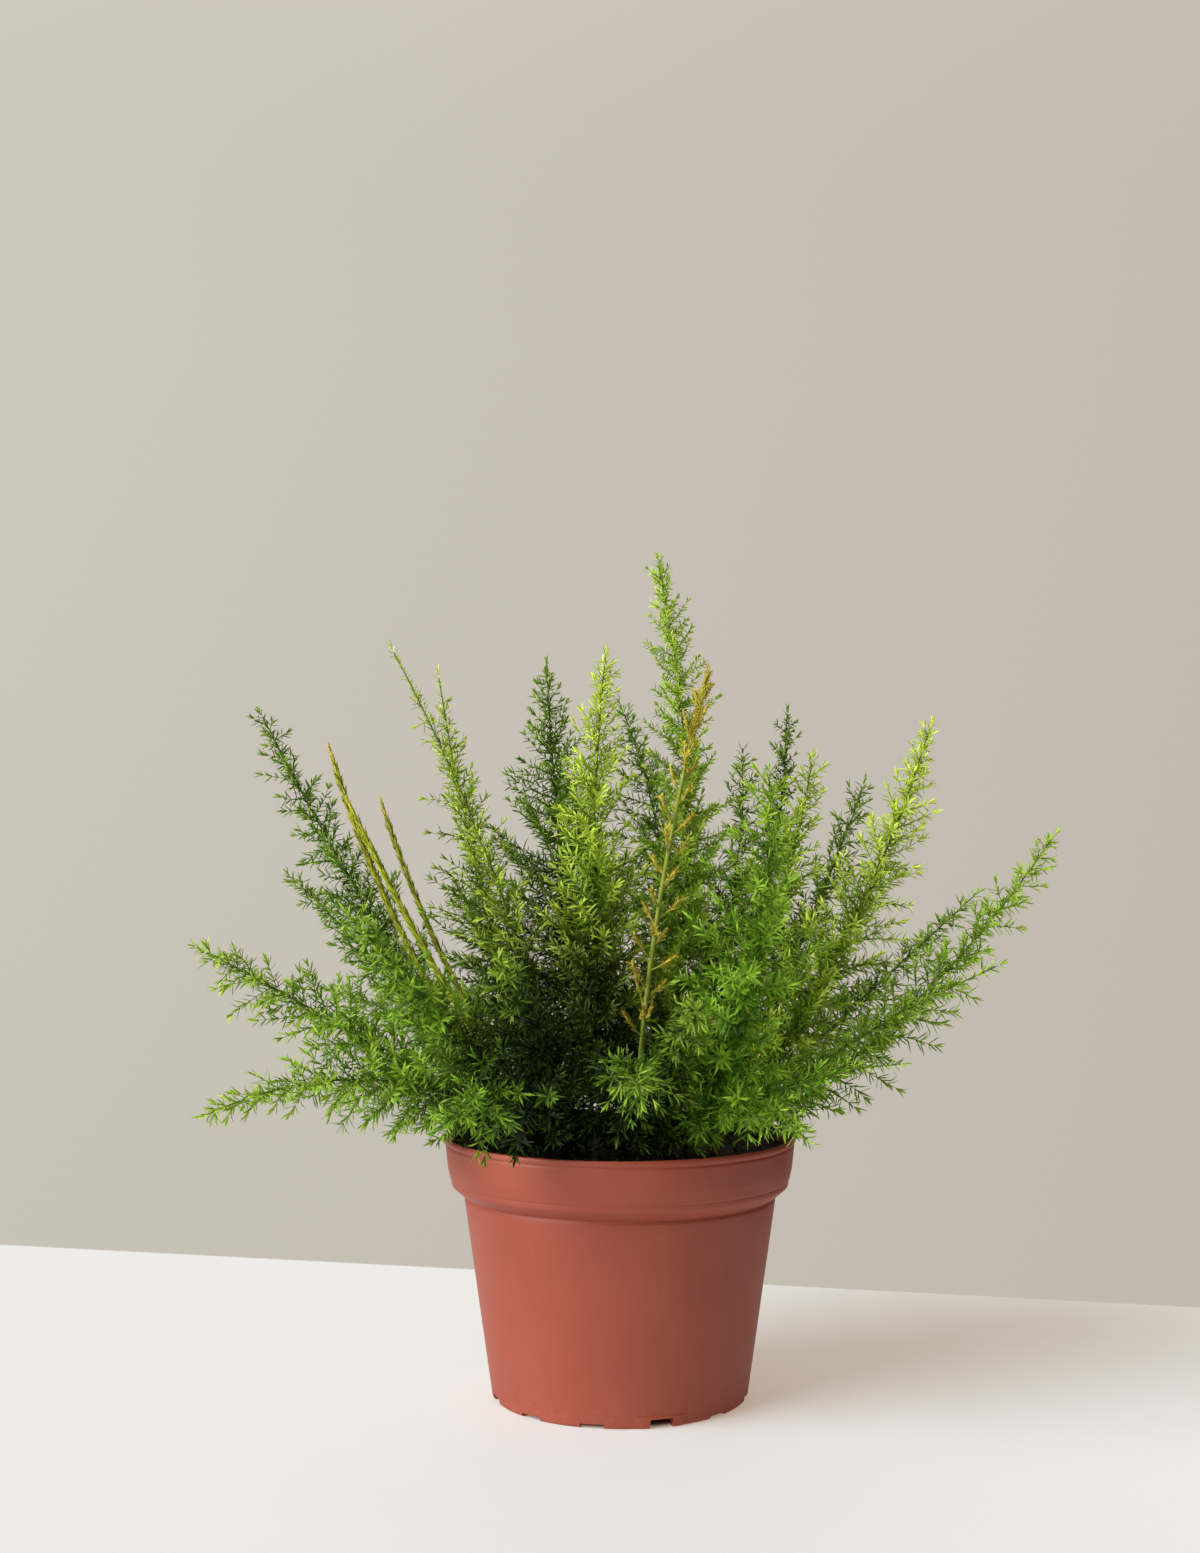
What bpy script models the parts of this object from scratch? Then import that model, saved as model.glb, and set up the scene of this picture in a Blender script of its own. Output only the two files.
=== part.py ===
# Potted foxtail fern: a round plastic nursery pot, its soil, and a crown of feathery fronds,
# each rooted in its own hole in the soil. Metres, +Z up, the pot's foot on z = 0 and its axis
# on the Z axis, with the plant's best side towards -Y.

import math

import bmesh
import bpy
import numpy as np
from mathutils import Matrix, Vector

# Sizes below are in millimetres, and turned into metres where objects are made
MM = 0.001
SEED = 7

# Points closer than this are one point, in millimetres
SAME_POINT = 0.001

# Pot: radius and height down the outer side, from the rim to the foot
POT_OUTSIDE = (
    (79.3, 117.0),
    (80.0, 116.3),
    (80.0, 114.6),
    (79.4, 114.0),
    (78.4, 103.0),
    (77.3, 99.6),
    (76.6, 95.2),
    (72.2, 91.2),
    (70.8, 88.6),
    (58.1, 1.0),
    (57.2, 0.0),
)
RIM_TOP = POT_OUTSIDE[0][1]
LIP_BOTTOM = POT_OUTSIDE[2][1]
POT_STEPS = 36
POT_WALL = 1.4
FOOT_RING_INNER = 53.4
FLOOR_RAISE = 3.0
FLOOR_THICKNESS = 1.6
CENTRE_PAD = 20.0
PAD_SLOPE = 1.2
NOTCH_COUNT = 12
NOTCH_WIDTH = 10.0
NOTCH_HEIGHT = 2.7
NOTCH_TURN = 18.0
NOTCH_INNER = 50.0
NOTCH_OUTER = 62.0
DRAIN_COUNT = 6
DRAIN_RADIUS = 4.5
DRAIN_CIRCLE = 38.0
DRAIN_SIDES = 8

# Soil: radius and height of its top, then a plug that follows the pot's inside
SOIL_TOP = ((0.0, 112.6), (34.0, 112.3), (60.0, 111.4), (76.8, 110.2))
SOIL_STEPS = 18
SEAT_GAP = 0.3
PLUG_PLAY = 0.45
HOLE_FLOOR = 82.0
HOLE_SIDES = 5
HOLE_PLAY = 0.65
HOLE_OVER = 10.0

# Stems
ROOT_SHARE = 0.38
ROOT_LEVEL = 114.0
STEM_FOOT_RADIUS = 1.5
STEM_TIP_RADIUS = 0.95
STEM_SEGMENTS = 6
STEM_CROWDING = 1.35
STEM_END = 0.95
DIRECTION_STEP = 0.02

# Side shoots and needles
GOLDEN_TURN = math.radians(137.5)
SHOOT_BASE_RADIUS = 0.5
SHOOT_CORE_RADIUS = 0.8
CORE_TAPER = 0.3
SHOOT_SINK = 0.2
TIP_SINK = 3.0
LEAST_ACROSS = 0.05
WHORL_LENGTH = 2.6
WHORL_TURN = math.radians(38.0)
NEEDLE_LENGTH = 9.5
LEAST_NEEDLE = 0.35
FULL_NEEDLE_SHOOT = 16.0
NEEDLE_LEAN = math.radians(52.0)
NEEDLES_IN_WHORL = 3
SHORTEST_SHOOT = 6.5
WHORL_SPACING = 11.0
MOST_WHORLS = 3
WHORLS_FROM = 0.5

# How a plume swells above its bare foot and tapers to its tip
LAST_SHOOT = 0.9
SWELL_START = 0.7
SWELL_RATE = 1.5
TAPER_AMOUNT = 0.6
TAPER_START = 0.35
TAPER_POWER = 1.4

# Room kept free between fronds, and round the soil and the rim
PLACING_TRIES = 14
TURN_PER_TRY = 0.35
LENGTH_PER_TRY = 0.95
CLEAR_GAP = 0.35
NEEDLE_ROOM = 0.5
POINTS_TRIED = 7
CLEAR_ABOVE = 1.5
CLEAR_INSIDE = 3.0
CLEAR_OUTSIDE = 2.0

# Fronds: each has its middle and its tip (x, y, z) in millimetres, its longest side shoot, its
# number of side shoots, and its colour. The root's place follows from the middle's.
FRONDS = {
    "frond_far_left_upper": ((-122, -28, 167), (-188, -40, 205), 27, 8, "light"),
    "frond_lower_left": ((-104, -50, 147), (-177, -70, 134), 26, 8, "light"),
    "frond_tall_left": ((-128, 28, 233), (-174, 40, 314), 21, 8, "dark"),
    "frond_small_left": ((-128, 62, 200), (-168, 90, 234), 20, 6, "dark"),
    "frond_front_left": ((-81, -85, 185), (-111, -110, 222), 26, 7, "bright"),
    "frond_tall_sparse": ((-63, -12, 251), (-105, -10, 340), 18, 8, "yellow"),
    "frond_thin_yellow": ((-74, 20, 238), (-86, 20, 331), 14, 7, "yellow"),
    "frond_upright_dark": ((-29, 45, 247), (-36, 60, 340), 23, 8, "dark"),
    "frond_centre_light": ((-12, -25, 242), (-6, -20, 337), 23, 8, "yellow"),
    "frond_centre_dark": ((21, 55, 240), (-1, 80, 322), 20, 7, "dark"),
    "frond_tallest": ((35, 8, 262), (17, 10, 385), 21, 9, "light"),
    "frond_small_dark": ((56, 55, 228), (61, 70, 296), 18, 6, "dark"),
    "frond_thin_dark": ((75, 75, 236), (86, 100, 319), 15, 6, "dark"),
    "frond_right_centre": ((58, -72, 205), (64, -60, 281), 28, 8, "bright"),
    "frond_light_behind": ((77, 15, 232), (91, 20, 290), 17, 6, "yellow"),
    "frond_dark_right": ((94, 42, 218), (120, 60, 280), 21, 7, "dark"),
    "frond_yellow_right": ((110, -8, 222), (142, -10, 305), 22, 8, "yellow"),
    "frond_far_right": ((134, -24, 190), (194, -30, 255), 26, 8, "light"),
    "frond_low_right": ((109, -45, 164), (163, -60, 191), 25, 7, "light"),
    "frond_low_right_front": ((75, -78, 150), (116, -100, 160), 22, 6, "bright"),
    "frond_low_left_front": ((-45, -85, 146), (-65, -125, 140), 20, 6, "bright"),
    "frond_front_centre": ((4, -84, 152), (8, -138, 155), 20, 6, "bright"),
    "frond_front_rosette": ((27, -86, 170), (30, -128, 184), 20, 6, "light"),
    "frond_right_over_rim": ((52, -80, 142), (76, -112, 130), 18, 5, "bright"),
    "frond_left_rosette": ((-38, -72, 178), (-50, -105, 204), 20, 6, "bright"),
    "frond_back_left": ((-62, 80, 190), (-85, 122, 230), 24, 6, "dark"),
    "frond_back_left_low": ((-62, 98, 160), (-100, 158, 172), 24, 6, "light"),
    "frond_back_upright": ((-14, 88, 222), (-28, 128, 284), 24, 6, "light"),
    "frond_back_low": ((4, 112, 160), (6, 180, 158), 25, 6, "light"),
    "frond_back_right": ((50, 98, 195), (72, 150, 243), 24, 6, "bright"),
    "frond_back_right_low": ((86, 86, 160), (138, 138, 170), 24, 6, "light"),
    "frond_back_right_side": ((118, 36, 178), (176, 62, 226), 23, 6, "bright"),
    "frond_back_left_side": ((-96, 66, 158), (-150, 100, 176), 22, 5, "bright"),
}

# Young spears, whose side shoots are still pressed to the stem, and the golden flowering shoot
SPEARS = {
    "spear_olive": ((-105, 5, 217), (-136, 10, 296), 6, 7, "olive"),
    "spear_yellow": ((-94, -18, 213), (-123, -25, 271), 7, 7, "spring"),
    "spear_short": ((-87, 22, 204), (-114, 30, 271), 6, 6, "olive"),
}
SPEAR_LEAN = math.radians(20.0)
SPEAR_BARE = 0.45
GOLDEN_SHOOT = {
    "shoot_golden": ((18, -48, 228), (39, -50, 326), 19, 10, "golden"),
}
GOLDEN_LEAN = math.radians(44.0)
FROND_LEAN = math.radians(50.0)
LEAN_SPREAD = math.radians(8.0)
FROND_BARE = 0.16

# Colour (linear), roughness and metallic value of each material
FINISHES = {
    "plastic_terracotta": ((0.42, 0.105, 0.062), 0.42),
    "soil_dark": ((0.018, 0.012, 0.008), 0.95),
    "green_light": ((0.16, 0.30, 0.045), 0.5),
    "green_bright": ((0.12, 0.26, 0.03), 0.5),
    "green_dark": ((0.035, 0.10, 0.022), 0.55),
    "green_yellow": ((0.28, 0.36, 0.06), 0.5),
    "green_spring": ((0.38, 0.45, 0.08), 0.5),
    "green_olive": ((0.20, 0.19, 0.05), 0.55),
    "green_golden": ((0.42, 0.26, 0.05), 0.55),
}


def empty_scene():
    for item in list(bpy.data.objects):
        bpy.data.objects.remove(item, do_unlink=True)


def new_collection(name):
    made = bpy.data.collections.new(name)
    bpy.context.scene.collection.children.link(made)
    return made


def finish(name):
    colour, roughness = FINISHES[name]
    material = bpy.data.materials.get(name) or bpy.data.materials.new(name)
    material.use_nodes = True
    shader = material.node_tree.nodes["Principled BSDF"]
    shader.inputs["Base Color"].default_value = (*colour, 1.0)
    shader.inputs["Roughness"].default_value = roughness
    shader.inputs["Metallic"].default_value = 0.0
    material.diffuse_color = (*colour, 1.0)
    return material


def place(name, data, collection):
    item = bpy.data.objects.new(name, data)
    collection.objects.link(item)
    return item


def turned(name, profile, steps, collection):
    """A closed turned body from (radius, height) points that start and end on the axis."""
    mesh = bpy.data.meshes.new(name)
    points = [(radius * MM, 0.0, height * MM) for radius, height in profile]
    edges = [(i, i + 1) for i in range(len(points) - 1)]
    mesh.from_pydata(points, edges, [])
    item = place(name, mesh, collection)
    screw = item.modifiers.new("turn", "SCREW")
    screw.steps = steps
    screw.render_steps = steps
    screw.use_merge_vertices = True
    screw.merge_threshold = SAME_POINT * MM
    screw.use_smooth_shade = False
    return item


def cut_all(item, cutters):
    cut = item.modifiers.new("cut", "BOOLEAN")
    cut.operation = "DIFFERENCE"
    cut.operand_type = "COLLECTION"
    cut.collection = cutters
    cut.solver = "EXACT"


def wire_only(item):
    item.hide_render = True
    item.display_type = "WIRE"


def cylinder_cutter(name, centre, low, high, radius, sides, collection):
    mesh = bpy.data.meshes.new(name)
    body = bmesh.new()
    bmesh.ops.create_cone(
        body,
        cap_ends=True,
        segments=sides,
        radius1=radius * MM,
        radius2=radius * MM,
        depth=(high - low) * MM,
    )
    body.to_mesh(mesh)
    body.free()
    item = place(name, mesh, collection)
    item.location = (centre[0] * MM, centre[1] * MM, (high + low) / 2 * MM)
    wire_only(item)


def inner_radius(height):
    """The pot's inner radius at a height above its floor."""
    heights = [point[1] for point in reversed(POT_OUTSIDE)]
    radii = [point[0] for point in reversed(POT_OUTSIDE)]
    return float(np.interp(height, heights, radii)) - POT_WALL


def make_pot(collection, cutters):
    floor_top = FLOOR_RAISE + FLOOR_THICKNESS
    inside = [
        (0.0, FLOOR_THICKNESS),
        (CENTRE_PAD - FLOOR_THICKNESS / 2, FLOOR_THICKNESS),
        (CENTRE_PAD + PAD_SLOPE - FLOOR_THICKNESS / 2, floor_top),
        (inner_radius(floor_top), floor_top),
    ]
    heights = [point[1] for point in reversed(POT_OUTSIDE) if floor_top < point[1] < LIP_BOTTOM]
    inside += [(inner_radius(height), height) for height in heights]
    inside.append((inner_radius(LIP_BOTTOM), RIM_TOP))
    underside = [
        (FOOT_RING_INNER + FLOOR_THICKNESS / 2, 0.0),
        (FOOT_RING_INNER, FLOOR_RAISE),
        (CENTRE_PAD + PAD_SLOPE, FLOOR_RAISE),
        (CENTRE_PAD, 0.0),
        (0.0, 0.0),
    ]
    pot = turned("pot", inside + list(POT_OUTSIDE) + underside, POT_STEPS, collection)
    pot.data.materials.append(finish("plastic_terracotta"))
    for number in range(NOTCH_COUNT):
        notch_cutter(number, cutters)
    for number in range(DRAIN_COUNT):
        angle = 2 * math.pi * number / DRAIN_COUNT
        centre = (DRAIN_CIRCLE * math.cos(angle), DRAIN_CIRCLE * math.sin(angle))
        low = FLOOR_RAISE - FLOOR_THICKNESS
        high = floor_top + FLOOR_THICKNESS
        cylinder_cutter(
            f"drain_{number}", centre, low, high, DRAIN_RADIUS, DRAIN_SIDES, cutters
        )
    cut_all(pot, cutters)


def notch_cutter(number, cutters):
    """A block across the foot ring, standing a little below the floor."""
    mesh = bpy.data.meshes.new(f"notch_{number}")
    block = bmesh.new()
    bmesh.ops.create_cube(block, size=1.0)
    length = NOTCH_OUTER - NOTCH_INNER
    bmesh.ops.scale(
        block,
        vec=(length * MM, NOTCH_WIDTH * MM, 2 * NOTCH_HEIGHT * MM),
        verts=block.verts,
    )
    block.to_mesh(mesh)
    block.free()
    item = place(f"notch_{number}", mesh, cutters)
    angle = math.radians(NOTCH_TURN - 90.0 + 360.0 * number / NOTCH_COUNT)
    middle = (NOTCH_INNER + NOTCH_OUTER) / 2
    item.location = (middle * MM * math.cos(angle), middle * MM * math.sin(angle), 0.0)
    item.rotation_euler = (0.0, 0.0, angle)
    wire_only(item)


def make_soil(collection, cutters, roots):
    floor_top = FLOOR_RAISE + FLOOR_THICKNESS
    edge_height = SOIL_TOP[-1][1]
    heights = [p[1] for p in POT_OUTSIDE if floor_top + SEAT_GAP < p[1] < edge_height]
    heights.append(floor_top + SEAT_GAP)
    side = [(inner_radius(height) - SEAT_GAP, height) for height in heights]
    plug = CENTRE_PAD - FLOOR_THICKNESS / 2 - PLUG_PLAY
    below = [
        (plug + PAD_SLOPE, floor_top + SEAT_GAP),
        (plug, FLOOR_THICKNESS + SEAT_GAP),
        (0.0, FLOOR_THICKNESS + SEAT_GAP),
    ]
    soil = turned("soil", list(SOIL_TOP) + side + below, SOIL_STEPS, collection)
    soil.data.materials.append(finish("soil_dark"))
    for name, root in roots.items():
        cylinder_cutter(
            f"hole_{name}",
            root,
            HOLE_FLOOR,
            ROOT_LEVEL + HOLE_OVER,
            STEM_FOOT_RADIUS + HOLE_PLAY,
            HOLE_SIDES,
            cutters,
        )
    cut_all(soil, cutters)


def root_of(middle):
    return np.array((middle[0] * ROOT_SHARE, middle[1] * ROOT_SHARE, ROOT_LEVEL))


def along_stem(middle, tip, share):
    """Points of the stem's arch, a quadratic curve from the root through its middle to its tip."""
    root = root_of(middle)
    middle = np.array(middle, dtype=float)
    tip = np.array(tip, dtype=float)
    lower = np.linalg.norm(middle - root)
    half = lower / (lower + np.linalg.norm(tip - middle))
    bow = (middle - (1 - half) ** 2 * root - half**2 * tip) / (2 * half * (1 - half))
    t = np.atleast_1d(share)[:, None]
    return (1 - t) ** 2 * root + 2 * t * (1 - t) * bow + t**2 * tip


def stem_shares():
    return STEM_END * (np.arange(STEM_SEGMENTS + 1) / STEM_SEGMENTS) ** STEM_CROWDING


def on_stem(middle, tip, share):
    """The point on the stem's own straight pieces, so that what grows there is rooted in it."""
    shares = stem_shares()
    points = along_stem(middle, tip, shares)
    return np.array([np.interp(share, shares, points[:, axis]) for axis in range(3)])


def stem_radius(share):
    return STEM_FOOT_RADIUS + (STEM_TIP_RADIUS - STEM_FOOT_RADIUS) * share


def unit(vector):
    return vector / np.linalg.norm(vector)


def direction_at(middle, tip, share):
    before = max(share - DIRECTION_STEP, 0.0)
    after = min(share + DIRECTION_STEP, 1.0)
    ends = along_stem(middle, tip, np.array((before, after)))
    return unit(ends[1] - ends[0])


def shoot_frame(forward, turn, lean):
    """Axes of a side shoot, turned about the stem and leaning out from it."""
    side = np.cross(forward, (0.0, 0.0, 1.0))
    if np.linalg.norm(side) < LEAST_ACROSS:
        side = np.array((1.0, 0.0, 0.0))
    side = unit(side)
    up = np.cross(side, forward)
    outward = math.cos(turn) * side + math.sin(turn) * up
    axis = math.cos(lean) * forward + math.sin(lean) * outward
    across = unit(np.cross(forward, outward))
    return np.column_stack((np.cross(across, axis), across, axis))


def whorl_heights(length, whorls):
    """Where each ring of needles starts along a side shoot, one after another near its tip."""
    first = WHORLS_FROM * length
    return first + WHORL_LENGTH * np.arange(whorls)


def needle_length(length):
    share = LEAST_NEEDLE + (1 - LEAST_NEEDLE) * length / FULL_NEEDLE_SHOOT
    return NEEDLE_LENGTH * min(1.0, share)


def needle_tips(length, whorls):
    """(foot, tip) of every needle of a side shoot, in the shoot's own axes."""
    pairs = []
    reach = needle_length(length)
    for number, start in enumerate(whorl_heights(length, whorls)):
        middle = start + WHORL_LENGTH / 2
        for k in range(NEEDLES_IN_WHORL):
            angle = WHORL_TURN * number + 2 * math.pi * (k + 0.5) / NEEDLES_IN_WHORL
            outward = np.array((math.cos(angle), math.sin(angle), 0.0))
            foot = np.array((0.0, 0.0, middle))
            lean = math.sin(NEEDLE_LEAN) * outward
            tip = foot + reach * (lean + np.array((0.0, 0.0, math.cos(NEEDLE_LEAN))))
            pairs.append((foot, tip))
    return np.array(pairs)


def shoot_mesh(length, whorls):
    """A slim three-sided shoot whose ring faces are drawn out into needles."""
    body = bmesh.new()
    bmesh.ops.create_cone(
        body,
        cap_ends=True,
        segments=NEEDLES_IN_WHORL,
        radius1=SHOOT_CORE_RADIUS,
        radius2=0.0,
        depth=length,
        matrix=Matrix.Translation((0.0, 0.0, length / 2)),
    )
    starts = whorl_heights(length, whorls)
    cuts = [*starts, starts[-1] + WHORL_LENGTH]
    for height in cuts:
        bmesh.ops.bisect_plane(
            body,
            geom=body.verts[:] + body.edges[:] + body.faces[:],
            plane_co=(0.0, 0.0, height),
            plane_no=(0.0, 0.0, 1.0),
        )
    bmesh.ops.remove_doubles(body, verts=body.verts, dist=SAME_POINT)
    turn_rings(body, starts, length)
    rings = ring_faces(body, starts)
    poked = bmesh.ops.poke(body, faces=rings)
    tips = needle_tips(length, whorls)
    for vertex in poked["verts"]:
        centre = np.array(vertex.co)
        spread = centre[2] - tips[:, 0, 2]
        level = tips[np.abs(spread) < WHORL_LENGTH / 2]
        out = level[:, 1, :2] @ centre[:2]
        vertex.co = Vector(level[int(np.argmax(out)), 1])
    bmesh.ops.triangulate(body, faces=body.faces[:])
    bmesh.ops.recalc_face_normals(body, faces=body.faces[:])
    return body


def turn_rings(body, starts, length):
    """Turns each ring of needles against the last, and keeps the core thick up to its tip."""
    sector = 2 * math.pi / NEEDLES_IN_WHORL
    for vertex in body.verts:
        height = vertex.co.z
        if math.hypot(vertex.co.x, vertex.co.y) < SAME_POINT:
            continue
        taper = 1.0 - CORE_TAPER * height / length
        radius = SHOOT_CORE_RADIUS * taper if height > SAME_POINT else SHOOT_BASE_RADIUS
        whorl = max(0, int((height > starts - SAME_POINT).sum()) - 1)
        corner = round(math.atan2(vertex.co.y, vertex.co.x) / sector)
        angle = corner * sector + WHORL_TURN * whorl
        vertex.co.x = radius * math.cos(angle)
        vertex.co.y = radius * math.sin(angle)


def ring_faces(body, starts):
    found = []
    for face in body.faces:
        heights = [vertex.co.z for vertex in face.verts]
        middle = (max(heights) + min(heights)) / 2
        inside = np.abs(starts + WHORL_LENGTH / 2 - middle) < WHORL_LENGTH / 4
        if inside.any() and max(heights) - min(heights) > WHORL_LENGTH / 2:
            found.append(face)
    return found


def distances(first, second):
    """Shortest distance from each segment of the first list to each of the second."""
    start = first[:, None, 0]
    along = first[:, None, 1] - start
    other = second[None, :, 0]
    beside = second[None, :, 1] - other
    apart = start - other
    a = (along * along).sum(-1)
    b = (along * beside).sum(-1)
    c = (beside * beside).sum(-1)
    d = (along * apart).sum(-1)
    e = (beside * apart).sum(-1)
    s = np.clip((b * e - c * d) / np.maximum(a * c - b * b, 1e-9), 0.0, 1.0)
    t = np.clip((b * s + e) / c, 0.0, 1.0)
    s = np.clip((b * t - d) / a, 0.0, 1.0)
    gap = apart + s[..., None] * along - t[..., None] * beside
    return np.linalg.norm(gap, axis=-1)


def clear_of_pot(segments):
    """Whether segments stay off the soil, the rim and the pot's outer side."""
    shares = np.linspace(0.0, 1.0, POINTS_TRIED)[:, None, None]
    points = segments[:, 0] + shares * (segments[:, 1] - segments[:, 0])
    points = points.reshape(-1, 3)
    radius = np.hypot(points[:, 0], points[:, 1])
    soil_edge = SOIL_TOP[-1][0]
    rim_edge = POT_OUTSIDE[1][0]
    low = points[:, 2] < SOIL_TOP[0][1] + CLEAR_ABOVE
    under_rim = points[:, 2] < RIM_TOP + CLEAR_ABOVE
    near_wall = (radius > soil_edge - CLEAR_INSIDE) & (radius < rim_edge + CLEAR_OUTSIDE)
    return not ((low & (radius < soil_edge)) | (under_rim & near_wall)).any()


class Thicket:
    """Every stem, side shoot and needle placed so far, with the frond that it belongs to."""

    def __init__(self):
        self.segments = np.zeros((0, 2, 3))
        self.radii = np.zeros(0)
        self.owners = np.zeros(0, dtype=int)

    def add(self, segments, radii, owner):
        self.segments = np.concatenate((self.segments, segments))
        self.radii = np.concatenate((self.radii, radii))
        self.owners = np.concatenate((self.owners, np.full(len(segments), owner)))

    def is_clear(self, segments, radii, owner):
        others = self.owners != owner
        if not others.any():
            return True
        gaps = distances(segments, self.segments[others])
        room = radii[:, None] + self.radii[None, others] + CLEAR_GAP
        return bool((gaps > room).all())


def shoot_segments(origin, frame, length, whorls):
    core = np.array(((0.0, 0.0, 0.0), (0.0, 0.0, length)))[None]
    own = np.concatenate((core, needle_tips(length, whorls)))
    radii = np.full(len(own), NEEDLE_ROOM)
    radii[0] = SHOOT_CORE_RADIUS
    return origin + own @ frame.T, radii


def place_shoot(thicket, owner, plant, share, turn, length, lean, rng):
    """Finds a free place for one side shoot, turning and shortening it where it must."""
    middle, tip = plant
    origin = on_stem(middle, tip, share)
    forward = direction_at(middle, tip, share)
    for attempt in range(PLACING_TRIES):
        whorls = min(MOST_WHORLS, 1 + int(length / WHORL_SPACING))
        spread = TURN_PER_TRY * attempt
        own_turn = turn + rng.uniform(-spread, spread)
        own_lean = lean + rng.uniform(-LEAN_SPREAD, LEAN_SPREAD) * min(1.0, lean)
        frame = shoot_frame(forward, own_turn, own_lean)
        foot = origin - frame[:, 2] * (TIP_SINK if lean == 0.0 else SHOOT_SINK)
        segments, radii = shoot_segments(foot, frame, length, whorls)
        if clear_of_pot(segments) and thicket.is_clear(segments, radii, owner):
            thicket.add(segments, radii, owner)
            return foot, frame, length, whorls
        length = max(SHORTEST_SHOOT, length * LENGTH_PER_TRY)
    return None


def shoot_plan(longest, count, bare):
    """Share along the stem and length of each side shoot, shorter towards the tip."""
    shares = bare + (LAST_SHOOT - bare) * (np.arange(count) + 0.5) / count
    swell = np.minimum(1.0, SWELL_START + SWELL_RATE * (shares - bare))
    above = np.clip((shares - TAPER_START) / (1 - TAPER_START), 0.0, 1.0)
    lengths = longest * swell * (1.0 - TAPER_AMOUNT * above**TAPER_POWER)
    return list(zip(shares, lengths, strict=True))


def grow_all(plants, rng):
    """Places stems first and then the side shoots in turn, so that no frond takes all the room."""
    thicket = Thicket()
    for owner, (middle, tip, *_rest) in enumerate(plants.values()):
        shares = stem_shares()
        points = along_stem(middle, tip, shares)
        segments = np.stack((points[:-1], points[1:]), axis=1)
        thicket.add(segments, stem_radius(shares[:-1]), owner)
    shoots = {name: [] for name in plants}
    plans = {}
    for name, (middle, tip, longest, count, _colour) in plants.items():
        bare, lean = growth_of(name)
        end = on_stem(middle, tip, STEM_END)
        plans[name] = [(STEM_END, TIP_SINK + np.linalg.norm(tip - end), 0.0)]
        plan = shoot_plan(longest, count, bare)
        plans[name] += [(share, length, lean) for share, length in reversed(plan)]
    turns = {name: rng.uniform(0, 2 * math.pi) for name in plants}
    for number in range(max(len(plan) for plan in plans.values())):
        for owner, name in enumerate(plants):
            if number >= len(plans[name]):
                continue
            share, length, lean = plans[name][number]
            turns[name] += GOLDEN_TURN
            plant = plants[name][:2]
            at = place_shoot(thicket, owner, plant, share, turns[name], length, lean, rng)
            if at:
                shoots[name].append(at)
    return shoots


def growth_of(name):
    if name in SPEARS:
        return SPEAR_BARE, SPEAR_LEAN
    if name in GOLDEN_SHOOT:
        return FROND_BARE, GOLDEN_LEAN
    return FROND_BARE, FROND_LEAN


def stem_mesh(name, middle, tip, collection):
    """The stem as a tapering curve, from the floor of its hole to the frond's tip."""
    shares = stem_shares()
    points = along_stem(middle, tip, shares)
    foot = points[0].copy()
    foot[2] = HOLE_FLOOR + SEAT_GAP
    points = np.vstack((foot, points))
    radii = [STEM_FOOT_RADIUS, *stem_radius(shares)]
    curve = bpy.data.curves.new(name, "CURVE")
    curve.dimensions = "3D"
    curve.bevel_depth = MM
    curve.bevel_resolution = 0
    curve.use_fill_caps = True
    spline = curve.splines.new("POLY")
    spline.points.add(len(points) - 1)
    for item, point, radius in zip(spline.points, points, radii, strict=True):
        item.co = (*(point * MM), 1.0)
        item.radius = radius
    holder = place(f"{name}_curve", curve, collection)
    bpy.context.view_layer.update()
    graph = bpy.context.evaluated_depsgraph_get()
    mesh = bpy.data.meshes.new_from_object(holder.evaluated_get(graph))
    body = bmesh.new()
    body.from_mesh(mesh)
    bmesh.ops.remove_doubles(body, verts=body.verts, dist=SAME_POINT * MM)
    bmesh.ops.recalc_face_normals(body, faces=body.faces[:])
    body.to_mesh(mesh)
    body.free()
    bpy.data.objects.remove(holder, do_unlink=True)
    return mesh


def make_plant(name, plant, shoots, collection, repeats):
    """One frond, spear or shoot: its stem joined with its side shoots in one body."""
    middle, tip, _longest, _count, colour = plant
    item = place(name, stem_mesh(name, middle, tip, collection), collection)
    item.data.materials.clear()
    item.data.materials.append(finish(f"green_{colour}"))
    for number, (origin, frame, length, whorls) in enumerate(shoots):
        body = shoot_mesh(length, whorls)
        turn = Matrix(frame.tolist()).to_4x4()
        body.transform(
            Matrix.Scale(MM, 4) @ Matrix.Translation(Vector(origin)) @ turn
        )
        mesh = bpy.data.meshes.new(f"{name}_side_{number}")
        body.to_mesh(mesh)
        body.free()
        place(mesh.name, mesh, repeats)
    join = item.modifiers.new("join", "BOOLEAN")
    join.operation = "UNION"
    join.operand_type = "COLLECTION"
    join.collection = repeats
    join.solver = "MANIFOLD"
    bpy.context.view_layer.update()
    graph = bpy.context.evaluated_depsgraph_get()
    joined = bpy.data.meshes.new_from_object(item.evaluated_get(graph))
    item.modifiers.remove(join)
    item.data = joined
    joined.name = name
    for piece in list(repeats.objects):
        bpy.data.objects.remove(piece, do_unlink=True)


def main():
    empty_scene()
    rng = np.random.default_rng(SEED)
    parts = new_collection("potted_foxtail_fern")
    pot_cutters = new_collection("pot_cutters")
    soil_cutters = new_collection("soil_cutters")
    repeats = new_collection("side_shoots")
    plants = {**FRONDS, **SPEARS, **GOLDEN_SHOOT}
    shoots = grow_all(plants, rng)
    for name, plant in plants.items():
        make_plant(name, plant, shoots[name], parts, repeats)
    bpy.data.collections.remove(repeats)
    make_soil(parts, soil_cutters, {name: root_of(plant[0]) for name, plant in plants.items()})
    make_pot(parts, pot_cutters)


main()
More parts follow.
